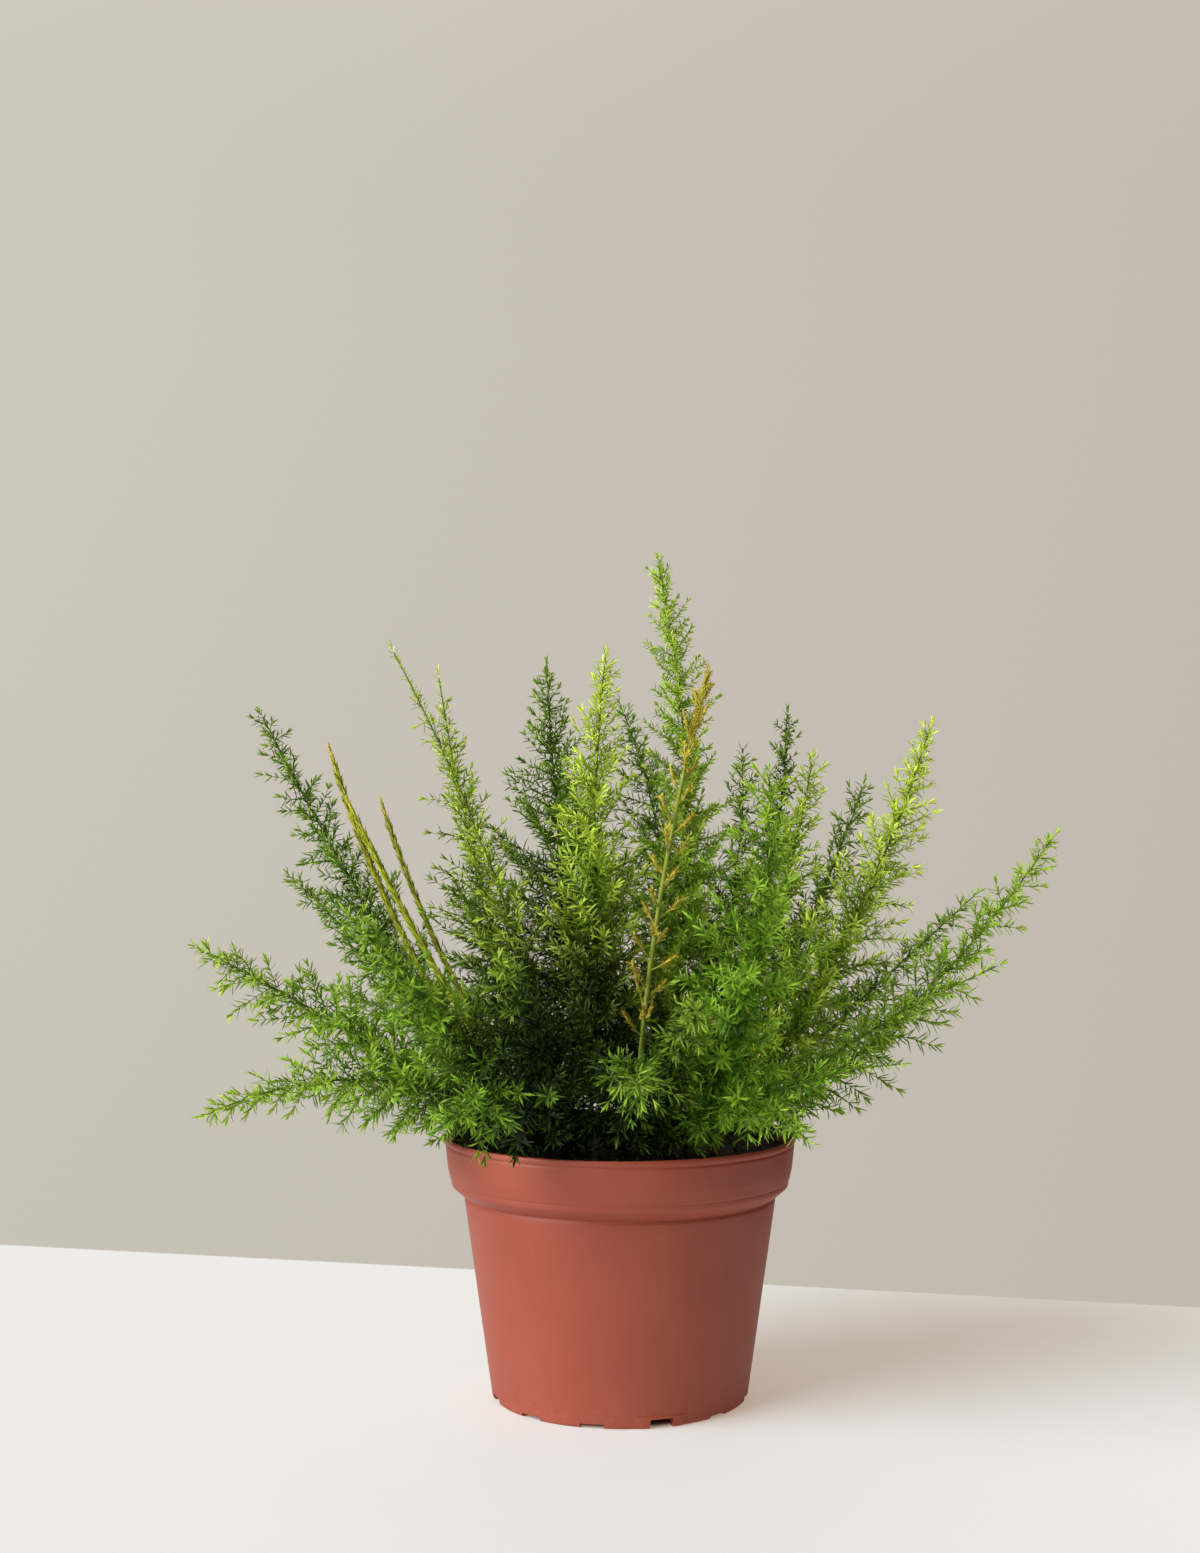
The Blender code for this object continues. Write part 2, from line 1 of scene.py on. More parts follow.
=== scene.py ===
# Potted foxtail fern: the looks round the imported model. +Z up, the plant's best side towards -Y.
# Meshes are worked out in millimetres and scaled to metres as they are made. The camera, the
# floor's back edge and the materials are in metres.
import math

import bpy
import numpy as np
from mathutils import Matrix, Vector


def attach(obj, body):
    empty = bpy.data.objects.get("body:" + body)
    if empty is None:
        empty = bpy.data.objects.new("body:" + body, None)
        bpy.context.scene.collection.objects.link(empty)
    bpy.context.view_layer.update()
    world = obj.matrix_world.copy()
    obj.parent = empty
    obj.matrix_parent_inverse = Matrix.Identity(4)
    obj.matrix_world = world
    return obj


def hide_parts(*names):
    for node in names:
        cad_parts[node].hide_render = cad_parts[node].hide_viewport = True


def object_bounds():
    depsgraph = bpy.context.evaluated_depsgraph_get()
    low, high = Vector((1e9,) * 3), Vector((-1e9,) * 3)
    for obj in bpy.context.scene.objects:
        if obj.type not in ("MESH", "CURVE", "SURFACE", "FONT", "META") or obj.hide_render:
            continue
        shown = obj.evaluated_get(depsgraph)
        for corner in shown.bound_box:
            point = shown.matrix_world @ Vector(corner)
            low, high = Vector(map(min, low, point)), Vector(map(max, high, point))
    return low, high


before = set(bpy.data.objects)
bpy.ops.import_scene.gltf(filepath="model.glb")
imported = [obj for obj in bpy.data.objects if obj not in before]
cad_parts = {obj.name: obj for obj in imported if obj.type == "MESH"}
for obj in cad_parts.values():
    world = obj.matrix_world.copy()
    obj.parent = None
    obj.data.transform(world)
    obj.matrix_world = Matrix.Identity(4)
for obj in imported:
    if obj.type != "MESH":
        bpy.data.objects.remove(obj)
cadLow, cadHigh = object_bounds()
mm = 0.001


# Shader writing: materials are put together from Wire objects on a Sheet

def operator(operation, swapped=False):
    # A method that adds a Math node for a Wire and the operator's other side
    def method(self, other):
        pair = (other, self) if swapped else (self, other)
        return self.sheet.maths(operation, *pair)
    return method


class Wire:
    # One output socket of a material. Python's operators on it add Math nodes.
    def __init__(self, sheet, socket):
        self.sheet = sheet
        self.socket = socket

    __add__, __radd__ = operator("ADD"), operator("ADD", True)
    __sub__, __rsub__ = operator("SUBTRACT"), operator("SUBTRACT", True)
    __mul__, __rmul__ = operator("MULTIPLY"), operator("MULTIPLY", True)
    __truediv__ = operator("DIVIDE")

    def clip(self):
        return self.sheet.node("Clamp", {"Value": self})

    def rise(self, low, high):
        # 0 below low, 1 above high, with soft ends
        sockets = {"Value": self, 1: low, 2: high}
        return self.sheet.node("MapRange", sockets, interpolation_type="SMOOTHSTEP")


class Sheet:
    # The node tree of one material or of the world, and the only place that adds nodes to it
    def __init__(self, owner):
        owner.use_nodes = True
        self.tree = owner.node_tree
        self.tree.nodes.clear()

    def node(self, kind, sockets=None, output=0, **settings):
        made = self.tree.nodes.new("ShaderNode" + kind)
        for key, value in settings.items():
            setattr(made, key, value)
        for key, value in (sockets or {}).items():
            self.feed(made.inputs[key], value)
        return Wire(self, made.outputs[output]) if made.outputs else None

    def feed(self, socket, value):
        if isinstance(value, Wire):
            self.tree.links.new(value.socket, socket)
        elif socket.type == "RGBA":
            socket.default_value = (*value, 1.0)
        else:
            socket.default_value = value

    def maths(self, operation, a, b):
        return self.node("Math", {0: a, 1: b}, operation=operation)

    def mix(self, share, a, b):
        # a * (1 - share) + b * share
        return self.node("Mix", {0: share, 6: a, 7: b}, 2, data_type="RGBA")

    def attribute(self, name):
        return self.node("Attribute", output=2, attribute_name=name)

    def place(self):
        return self.node("TexCoord", output=3)

    def part(self, direction, number):
        # The x, y or z of a direction or a place
        return self.node("SeparateXYZ", {0: direction}, output=number)

    def noise(self, scale, detail, stretch=None, rough=0.5):
        where = self.place()
        if stretch:
            where = self.node("Mapping", {"Vector": where, "Scale": stretch})
        sockets = {"Vector": where, "Scale": scale, "Detail": detail, "Roughness": rough}
        return self.node("TexNoise", sockets)

    def bump(self, height, depth, strength):
        sockets = {"Height": height, "Distance": depth, "Strength": strength}
        return self.node("Bump", sockets)

    def principled(self, colour, roughness, more):
        sockets = {"Base Color": colour, "Roughness": roughness, **more}
        return self.node("BsdfPrincipled", sockets)

    def surface(self, shader):
        self.node("OutputMaterial", {"Surface": shader})


def newMaterial(name):
    material = bpy.data.materials.new(name)
    return material, Sheet(material)


# Mesh writing: whole arrays of points and faces, in millimetres

def unit(vectors):
    return vectors / np.linalg.norm(vectors, axis=-1, keepdims=True)


def fan(angle, first, second):
    # cos(angle) * first + sin(angle) * second
    return np.cos(angle)[..., None] * first + np.sin(angle)[..., None] * second


def gridFaces(rows, columns):
    # Quads between neighbouring rows of a grid of points whose columns close on themselves
    row, column = np.meshgrid(np.arange(rows - 1), np.arange(columns), indexing="ij")
    after = (column + 1) % columns
    corners = (row, column), (row, after), (row + 1, after), (row + 1, column)
    return np.stack([r * columns + c for r, c in corners], axis=-1).reshape(-1, 4)


def endFaces(rows, columns):
    # Triangles from such a grid's first and last row to the two points that follow the grid
    here = np.arange(columns)
    after = (here + 1) % columns
    last, pole = (rows - 1) * columns, rows * columns
    first = np.stack((after, here, np.full(columns, pole)), axis=-1)
    end = np.stack((last + here, last + after, np.full(columns, pole + 1)), axis=-1)
    return np.concatenate((first, end))


def placed(name, data):
    # An object in the scene that carries the data
    item = bpy.data.objects.new(name, data)
    bpy.context.scene.collection.objects.link(item)
    return item


class Shape:
    # Points, faces and values per point, gathered before they become one mesh
    def __init__(self):
        self.points = []
        self.faces = []
        self.values = []
        self.smooth = []
        self.count = 0

    def add(self, points, faces, smooth=True, **values):
        points = np.asarray(points).reshape(-1, 3)
        for group in faces:
            self.faces.append(np.asarray(group) + self.count)
            self.smooth.append(np.full(len(group), smooth))
        self.points.append(points)
        self.values.append({k: np.broadcast_to(v, len(points)) for k, v in values.items()})
        self.count += len(points)

    def piece(self, name, material):
        mesh = bpy.data.meshes.new(name)
        points = np.concatenate(self.points) * mm
        corners = np.concatenate([group.ravel() for group in self.faces])
        sizes = np.concatenate([np.full(len(g), g.shape[1]) for g in self.faces])
        mesh.vertices.add(len(points))
        mesh.vertices.foreach_set("co", points.astype(np.float32).ravel())
        mesh.loops.add(len(corners))
        mesh.loops.foreach_set("vertex_index", corners.astype(np.int32))
        mesh.polygons.add(len(sizes))
        starts = np.cumsum(sizes) - sizes
        mesh.polygons.foreach_set("loop_start", starts.astype(np.int32))
        mesh.polygons.foreach_set("use_smooth", np.concatenate(self.smooth))
        for key in self.values[0]:
            layer = mesh.attributes.new(key, "FLOAT", "POINT")
            numbers = np.concatenate([values[key] for values in self.values])
            layer.data.foreach_set("value", numbers.astype(np.float32))
        if material:
            mesh.materials.append(material)
        mesh.update(calc_edges=True)
        mesh.validate()
        return placed(name, mesh)


def tubes(lines, radii, sides):
    # A tube round each line: line point + radius * (cos a * normal + sin a * binormal), with a
    # point closing each end. The normal is square to the world axis that the line follows least.
    count, steps = radii.shape
    ahead = unit(np.gradient(lines, axis=1))
    steepest = np.abs(ahead).max(axis=1)
    aside = np.eye(3)[np.argmin(steepest, axis=1)][:, None, :]
    normal = unit(np.cross(ahead, aside))
    binormal = np.cross(ahead, normal)
    angle = 2 * np.pi * np.arange(sides) / sides
    around = fan(angle, normal[:, :, None], binormal[:, :, None])
    rings = lines[:, :, None] + radii[:, :, None, None] * around
    ends = np.stack((lines[:, 0], lines[:, -1]), axis=1)
    points = np.concatenate((rings.reshape(count, -1, 3), ends), axis=1)
    shift = points.shape[1] * np.arange(count)[:, None, None]
    quads, caps = gridFaces(steps, sides), endFaces(steps, sides)
    return points, [(quads + shift).reshape(-1, 4), (caps + shift).reshape(-1, 3)]


# One needle: where its foot and its widest ring lie, the foot's width as a share of the widest,
# the corners of a ring (across, outward), its faces, and how much lighter each point is
blade = dict(
    footAt=0.03, widestAt=0.62, footWide=0.62, ring=((1, -0.15), (0, 0.5), (-1, -0.15)),
    bowGain=1.6, sides=np.array(((0, 1, 4, 3), (1, 2, 5, 4), (2, 0, 3, 5))),
    ends=np.array(((2, 1, 0), (3, 4, 6), (4, 5, 6), (5, 3, 6))),
    shades=np.array((-0.25, -0.2, -0.25, 0.0, 0.08, 0.0, 0.22)),
)


def needles(feet, directions, axes, lengths, widths, bow, foot=blade["footWide"]):
    # A flat keeled blade per needle: three points round its foot, three round its widest place,
    # and its tip. The widest place stands about bow * length off the line, away from the axis.
    across = unit(np.cross(directions, axes))
    outward = np.cross(directions, across)
    long, wide, bow = lengths[:, None], widths[:, None], bow[:, None]
    rings = []
    for t, thick in ((blade["footAt"], foot), (blade["widestAt"], 1.0)):
        middle = feet + long * (t * directions - blade["bowGain"] * t * bow * outward)
        for side, lift in blade["ring"]:
            corner = middle + side * thick * wide * across
            rings.append(corner + lift * thick * wide * outward)
    points = np.stack((*rings, feet + long * directions), axis=1)
    shift = points.shape[1] * np.arange(len(feet))[:, None, None]
    faces = [blade[key] + shift for key in ("sides", "ends")]
    return points, [group.reshape(-1, group.shape[-1]) for group in faces]


def addBlades(shape, blades, tone, youth, shades=0.0 * blade["shades"]):
    # Needles with a tone and a youth each, which the shades change from point to point
    tone = np.clip(tone[:, None] + shades, 0, 1).ravel()
    youth = np.clip(youth[:, None] + 0.5 * shades, 0, 1).ravel()
    shape.add(*blades, smooth=False, tone=tone, youth=youth, woody=0.0)


# Camera, light and floor. The room is the world's colour by direction, and each edge is where a
# change between two parts of it begins and ends.
studio = dict(
    cameraPlace=(0.0, -0.9, 0.249), cameraTilt=math.radians(2.005),
    cameraTurn=math.radians(0.577), lens=45.32, sensor=36.0,
    floorBack=((-0.385, 0.324), (0.313, 0.166)), floorReach=4000.0, floorTop=-0.05,
    # the floor's glow is painted light that lifts and warms its shadows; its bluish colour keeps the lit
    # floor neutral
    floorThickness=20.0, floorColour=(0.475, 0.572, 0.646), floorCloud=0.985, floorRoughness=0.6,
    floorSpecular=0.2, floorPaintedGlow=(0.386, 0.302, 0.238), footShade=(0.051, 0.0575),
    wallLeft=(0.615, 0.57, 0.503), wallRight=(0.54, 0.492, 0.428), wallLow=(0.5, 0.455, 0.395),
    wallTurn=1.6, lowWall=(0.15, 0.6), wallEdge=(0.3, 0.8), topEdge=(0.3, 0.95),
    rightEdge=(0.32, 0.8), roomFront=0.13, roomRight=0.1, roomTop=0.6,
    keyFrom=(-0.866, -0.5, 0.64), keyStrength=3.9, keyColour=(1.0, 0.99, 0.975),
    keySpread=math.radians(46.0),
)


def makeStudio():
    scene = bpy.context.scene
    scene.view_settings.view_transform = "Standard"
    camera = placed("camera", bpy.data.cameras.new("camera"))
    camera.location = studio["cameraPlace"]
    camera.rotation_euler = (math.pi / 2 + studio["cameraTilt"], 0.0, studio["cameraTurn"])
    camera.data.lens = studio["lens"]
    camera.data.sensor_width = studio["sensor"]
    scene.camera = camera

    world = bpy.data.worlds.new("studio")
    scene.world = world
    sheet = Sheet(world)
    outward = sheet.node("TexCoord")
    aside = sheet.part(outward, 0)
    height = sheet.part(outward, 2)
    share = (aside * studio["wallTurn"] + 0.5).clip()
    wall = sheet.mix(share, studio["wallLeft"], studio["wallRight"])
    start, fall = studio["lowWall"]
    lower = sheet.mix((start - height * fall).clip(), wall, studio["wallLow"])
    # the wall behind is pale, the room in front of it darker, and the right of the room darkest
    depth = sheet.part(outward, 1)
    behind = depth.rise(*studio["wallEdge"])
    above = height.rise(*studio["topEdge"]) * studio["roomTop"]
    strength = studio["roomFront"] + (1 - studio["roomFront"]) * (behind + above)
    strength = strength * (1 - (1 - studio["roomRight"]) * aside.rise(*studio["rightEdge"]))
    glow = sheet.node("Background", {"Color": lower, "Strength": strength})
    sheet.node("OutputWorld", {"Surface": glow})

    sun = bpy.data.lights.new("key", "SUN")
    sun.energy = studio["keyStrength"]
    sun.color = studio["keyColour"]
    sun.angle = studio["keySpread"]
    key = placed("key", sun)
    x, y, z = key.location = studio["keyFrom"]
    key.rotation_euler = (math.atan2(math.hypot(x, y), z), 0.0, math.atan2(y, x) + math.pi / 2)


def makeFloor():
    # A thin slab whose back edge runs straight through two points, where the wall begins:
    # y = y0 + (y1 - y0) / (x1 - x0) * (x - x0)
    (x0, y0), (x1, y1) = studio["floorBack"]
    slope = (y1 - y0) / (x1 - x0)
    wide = studio["floorReach"]
    back = [(x, (y0 + slope * (x * mm - x0)) / mm) for x in (-wide, wide)]
    corners = [(-wide, -wide), (wide, -wide), back[1], back[0]]
    top = np.array([(x, y, studio["floorTop"]) for x, y in corners])
    low = top - (0.0, 0.0, studio["floorThickness"])
    shape = Shape()
    sides = np.array([(j, j + 4, (j + 1) % 4 + 4, (j + 1) % 4) for j in range(4)])
    faces = [np.array(((0, 1, 2, 3), (7, 6, 5, 4))), sides]
    shape.add(np.concatenate((top, low)), faces, smooth=False)
    material, sheet = newMaterial("floor_pale")
    cloud = sheet.noise(3.0, 3.0)
    deep = tuple(studio["floorCloud"] * c for c in studio["floorColour"])
    colour = sheet.mix(cloud, deep, studio["floorColour"])
    # painted light: the floor glows on its own, which lifts its shadows and, against its bluish diffuse
    # colour, warms them; the glow is gone under the pot
    away = sheet.node("VectorMath", {0: sheet.place()}, 1, operation="LENGTH")
    glow = sheet.mix(away.rise(*studio["footShade"]), (0.0, 0.0, 0.0), studio["floorPaintedGlow"])
    more = {"Specular IOR Level": studio["floorSpecular"], "Emission Color": glow}
    more["Emission Strength"] = 1.0
    sheet.surface(sheet.principled(colour, studio["floorRoughness"], more))
    shape.piece("floor", material)


makeStudio()
makeFloor()
print("studio ready")


# The pot: its outside from the rim down as (radius, height), and the lip inside the rim
pot = dict(
    outside=(
        (79.3, 117.0), (80.0, 116.4), (80.0, 114.9), (79.2, 114.2), (79.2, 113.7), (79.5, 113.1),
        (78.4, 103.0), (77.2, 98.0), (76.8, 97.6), (76.9, 97.1), (76.6, 95.2), (72.0, 91.2),
        (70.5, 90.8), (70.3, 90.2), (70.8, 88.6), (70.0, 83.0), (59.9, 13.4), (59.1, 8.0),
        (58.8, 6.0), (58.6, 4.8), (58.5, 4.0), (58.3, 2.6), (58.1, 1.0), (57.2, 0.0),
    ),
    lip=((78.1, 116.4), (78.5, 117.0)), insideTop=113.0, wall=1.4, corner=0.45, columns=160,
    footRing=53.4, floorRaise=3.0, floorThickness=1.6, centrePad=20.0, padSlope=1.2,
    notchWidth=10.6, notchReach=(50.0, 62.0), notchBelow=-3.0, notchTurn=18.0,
    notchHeights=(4.0, 1.5, 2.8, 1.6, 2.6, 1.5, 2.8, 1.6, 2.6, 3.3, 1.9, 2.0), bossHalf=10.8,
    bossTop=5.0, bossProud=0.55, bossSkin=0.5, drainCount=6, drainRadius=4.5, drainCircle=38.0,
    drainHeights=(1.5, 3.5, 6.5), drainSides=28, sharpAngle=math.radians(38.0),
    colour=(0.362, 0.07, 0.036), deepColour=(0.32, 0.058, 0.03), dustColour=(0.5, 0.3, 0.2),
    dustHeight=0.016, streaks=0.05, specks=0.12, roughness=0.47, unevenRoughness=0.1,
    grainDepth=0.00008,
)
outerRadii, outerHeights = np.array(pot["outside"])[::-1].T
soilTop = np.array(((0.0, 112.6), (34.0, 112.3), (60.0, 111.4), (76.8, 110.2)))


def outerRadius(height):
    # The outside's radius at a height, straight between the points of the profile
    return np.interp(height, outerHeights, outerRadii)


def roundCorners(points, reach, steps=3):
    # Each inner corner becomes a quadratic curve that starts and ends at most reach away from it:
    # (1 - t)^2 start + 2 t (1 - t) corner + t^2 end
    points = np.asarray(points, float)
    corner = points[1:-1]
    ends = []
    for other in (points[:-2], points[2:]):
        way = other - corner
        long = np.linalg.norm(way, axis=1, keepdims=True)
        ends.append(corner + way / long * np.minimum(reach, 0.45 * long))
    start, corner, end = ends[0][:, None], corner[:, None], ends[1][:, None]
    t = np.linspace(0, 1, steps)[None, :, None]
    arcs = (1 - t) ** 2 * start + 2 * t * (1 - t) * corner + t**2 * end
    return np.concatenate((points[:1], arcs.reshape(-1, 2), points[-1:]))


def turnedSurface(profile, columns):
    # The profile's (radius, height) at every angle round the axis. Its two ends lie on the axis.
    angle = 2 * np.pi * np.arange(columns) / columns
    ring = np.stack((np.cos(angle), np.sin(angle)), axis=-1)
    inner = profile[1:-1]
    flat = inner[:, None, :1] * ring[None]
    tall = np.broadcast_to(inner[:, None, 1:], (len(inner), columns, 1))
    grid = np.concatenate((flat, tall), axis=-1)
    poles = np.array(((0.0, 0.0, profile[0, 1]), (0.0, 0.0, profile[-1, 1])))
    points = np.concatenate((grid.reshape(-1, 3), poles))
    return points, [gridFaces(len(inner), columns), endFaces(len(inner), columns)]


def block(low, high, turn):
    # A box between two corners, turned about the Z axis
    corners = np.array([(x, y, z) for x in (0, 1) for y in (0, 1) for z in (0, 1)], float)
    points = low + corners * np.subtract(high, low)
    c, s = math.cos(turn), math.sin(turn)
    points = points @ np.array(((c, s, 0), (-s, c, 0), (0, 0, 1)))
    quads = (0, 1, 3, 2), (4, 6, 7, 5), (0, 4, 5, 1), (2, 3, 7, 6), (0, 2, 6, 4), (1, 5, 7, 3)
    return points, [np.array(quads)]


def cutAway(item, cutter):
    # The piece's mesh becomes what is left of it outside the cutter
    cut = item.modifiers.new("cut", "BOOLEAN")
    cut.operation = "DIFFERENCE"
    cut.solver = "EXACT"
    cut.object = cutter
    graph = bpy.context.evaluated_depsgraph_get()
    mesh = bpy.data.meshes.new_from_object(item.evaluated_get(graph))
    item.modifiers.clear()
    item.data = mesh
    bpy.data.objects.remove(cutter)


def potMaterial():
    # Satin moulded plastic: faint rings from the mould, a fine grain, paler scuffs and dust
    material, sheet = newMaterial("plastic_terracotta")
    height = sheet.part(sheet.place(), 2)
    cloud = sheet.noise(14.0, 4.0)
    rings = sheet.noise(1.0, 3.0, (2.0, 2.0, 420.0))
    colour = sheet.mix(cloud.rise(0.35, 0.65), pot["deepColour"], pot["colour"])
    streaks = sheet.noise(90.0, 5.0, (1.0, 1.0, 0.12), 0.7)
    scuffed = (streaks.rise(0.56, 0.78) * pot["streaks"]).clip()
    colour = sheet.mix(scuffed, colour, pot["dustColour"])
    low = 1.0 - (height / pot["dustHeight"]).clip()
    specks = sheet.noise(620.0, 3.0).rise(0.52, 0.66)
    colour = sheet.mix((low * specks * pot["specks"]).clip(), colour, pot["dustColour"])
    uneven = pot["unevenRoughness"]
    roughness = pot["roughness"] + uneven * sheet.noise(38.0, 5.0) + uneven * low
    grain = sheet.noise(1500.0, 2.0)
    bumped = sheet.bump(grain + 1.2 * rings, pot["grainDepth"], 0.5)
    sheet.surface(sheet.principled(colour, roughness, {"Normal": bumped, "IOR": 1.5}))
    return material


def makePot():
    # The wall and floor turned in one, a raised frame, then notches and drain holes cut away
    thick, raised, wall = pot["floorThickness"], pot["floorRaise"], pot["wall"]
    foot, pad = pot["footRing"], pot["centrePad"]
    slope = pad + pot["padSlope"]
    floorTop, half = raised + thick, thick / 2
    inside = [
        (0.0, thick), (pad - half, thick), (slope - half, floorTop),
        (outerRadius(floorTop) - wall, floorTop),
        *[(outerRadius(z) - wall, z) for z in outerHeights if floorTop < z < pot["insideTop"]],
        *pot["lip"],
    ]
    underside = [(foot + half, 0.0), (foot, raised), (slope, raised), (pad, 0.0), (0.0, 0.0)]
    profile = roundCorners(inside + list(pot["outside"]) + underside, pot["corner"])
    points, faces = turnedSurface(profile, pot["columns"])

    # a raised frame round the front notch, on the outer face alone
    notchTurn = math.radians(pot["notchTurn"] - 90.0)
    angle = np.arctan2(points[:, 1], points[:, 0]) - notchTurn
    away = np.abs(np.arctan2(np.sin(angle), np.cos(angle))) * outerRadii[0]
    skin = outerRadius(points[:, 2]) - pot["bossSkin"]
    outer = np.hypot(points[:, 0], points[:, 1]) > skin
    near = (away < pot["bossHalf"]) & outer & (points[:, 2] < pot["bossTop"])
    stretch = 1 + near * pot["bossProud"] / outerRadii[0]
    points[:, :2] *= stretch[:, None]

    shape = Shape()
    shape.add(points, faces)
    item = shape.piece("pot_body", potMaterial())
    cutters = Shape()
    inside, outside = pot["notchReach"]
    wide = pot["notchWidth"] / 2
    for number, tall in enumerate(pot["notchHeights"]):
        turn = notchTurn + 2 * math.pi * number / len(pot["notchHeights"])
        low, high = (inside, -wide, pot["notchBelow"]), (outside, wide, tall)
        cutters.add(*block(low, high, turn))
    for number in range(pot["drainCount"]):
        turn = 2 * math.pi * number / pot["drainCount"]
        spot = pot["drainCircle"] * np.array((math.cos(turn), math.sin(turn)))
        line = np.array([[(*spot, z) for z in pot["drainHeights"]]])
        radii = np.full(line.shape[:2], pot["drainRadius"])
        cutters.add(*tubes(line, radii, pot["drainSides"]))
    cutAway(item, cutters.piece("cutters", None))
    item.data.set_sharp_from_angle(angle=pot["sharpAngle"])
    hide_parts("pot")
    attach(item, "root")


makePot()
print("pot ready")


# The soil. Its waves are (height, length), and the kinds, crumbs and flakes, are (count, smallest
# and largest size, stretch, share of bark).
soil = dict(
    seed=3, columns=96, rows=40, edge=0.3, level=112.0, topRadius=77.0,
    sideHeights=(109.0, 99.6, 95.2, 91.2, 90.2, 88.6, 60.0, 30.0),
    waves=((0.35, 26.0), (0.25, 11.0), (0.18, 5.0), (0.12, 2.4)), unevenness=0.12, spread=75.0,
    lying=0.25,
    kinds=(
        (1500, (0.35, 1.5), (1.0, 0.9, 0.75), 0.25),
        (260, (1.2, 3.2), (1.0, 0.45, 0.16), 0.9),
    ),
    deepColour=(0.01, 0.0065, 0.0045), midColour=(0.042, 0.026, 0.017),
    barkColour=(0.16, 0.075, 0.038),
)


def soilHeight(points, rng):
    # The top's gentle dome plus the sum of size / 2.2 * cos(2 pi / long * place + phase) over
    # five random directions for each kind of wave
    radius = np.hypot(points[..., 0], points[..., 1])
    height = np.interp(radius, soilTop[:, 0], soilTop[:, 1])
    for size, long in soil["waves"]:
        turn = rng.uniform(0, 2 * np.pi, 5)
        phase = rng.uniform(0, 2 * np.pi, 5)
        way = np.stack((np.cos(turn), np.sin(turn)), axis=-1) * 2 * np.pi / long
        height = height + size / 2.2 * np.cos(points[..., :2] @ way.T + phase).sum(axis=-1)
    return height


def lumps(centres, sizes, stretch, rng):
    # An eight-sided lump at each centre: six corners at uneven distances, stretched and turned
    count = len(centres)
    corners = np.array(((1, 0, 0), (0, 1, 0), (-1, 0, 0), (0, -1, 0), (0, 0, 1), (0, 0, -1)), float)
    local = corners * rng.uniform(0.65, 1.25, (count, 6, 1)) * stretch
    turn = unit(rng.normal(size=(count, 4)))
    w, v = turn[:, :1, None], turn[:, None, 1:]
    swing = np.cross(v, local)
    local = local + 2 * (w * swing + np.cross(v, swing))
    points = centres[:, None] + local * sizes[:, None, None]
    faces = [(j, (j + 1) % 4, 4) for j in range(4)] + [((j + 1) % 4, j, 5) for j in range(4)]
    shift = 6 * np.arange(count)[:, None, None]
    return points, [(np.array(faces) + shift).reshape(-1, 3)]


def soilMaterial():
    # Damp potting mix: nearly black, with browner crumbs and a few reddish flakes of bark
    material, sheet = newMaterial("soil_dark")
    tone = sheet.attribute("tone")
    bark = sheet.attribute("bark")
    cloud = sheet.noise(160.0, 4.0)
    colour = sheet.mix((tone * 0.7 + cloud * 0.5).clip(), soil["deepColour"], soil["midColour"])
    colour = sheet.mix(bark, colour, soil["barkColour"])
    grain = sheet.noise(2400.0, 3.0)
    bumped = sheet.bump(grain + 0.6 * cloud, 0.0004, 0.7)
    roughness = 0.95 - 0.25 * tone * cloud
    sheet.surface(sheet.principled(colour, roughness, {"Normal": bumped}))
    return material


def makeSoil():
    # A turned plug that fills the pot, with an uneven top, and crumbs and flakes strewn on it
    rng = np.random.default_rng(soil["seed"])
    floorTop = pot["floorRaise"] + pot["floorThickness"] + soil["edge"]
    top = [(r, soil["level"]) for r in np.linspace(0, soil["topRadius"], soil["rows"])]
    heights = np.array((*soil["sideHeights"], floorTop))
    side = np.stack((outerRadius(heights) - pot["wall"] - soil["edge"], heights), axis=-1)
    profile = np.concatenate((top, side, [(0.0, floorTop)]))[::-1]
    points, faces = turnedSurface(profile, soil["columns"])
    above = points[:, 2] > soil["level"] - 1.0
    lifted = soilHeight(points, rng) + rng.normal(scale=soil["unevenness"], size=len(points))
    points[:, 2] = np.where(above, lifted, points[:, 2])
    shape = Shape()
    shape.add(points, faces, tone=rng.uniform(0, 0.5, len(points)), bark=0.0)
    rng = np.random.default_rng(soil["seed"])
    for count, (small, big), stretch, barky in soil["kinds"]:
        radius = soil["spread"] * np.sqrt(rng.uniform(0, 1, count))
        turn = rng.uniform(0, 2 * np.pi, count)
        sizes = small + (big - small) * rng.uniform(0, 1, count) ** 2.5
        spots = np.stack((radius * np.cos(turn), radius * np.sin(turn), 0 * turn), axis=-1)
        surface = soilHeight(spots, np.random.default_rng(soil["seed"]))
        spots[:, 2] = surface + soil["lying"] * sizes
        made, sides = lumps(spots, sizes, np.array(stretch), rng)
        tone = np.repeat(rng.uniform(0, 1, count), 6)
        bark = np.repeat(rng.uniform(0, 1, count) ** 2, 6) * barky
        shape.add(made, sides, smooth=False, tone=tone, bark=bark)
    item = shape.piece("soil_crumbs", soilMaterial())
    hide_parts("soil")
    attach(item, "root")


makeSoil()
print("soil ready")
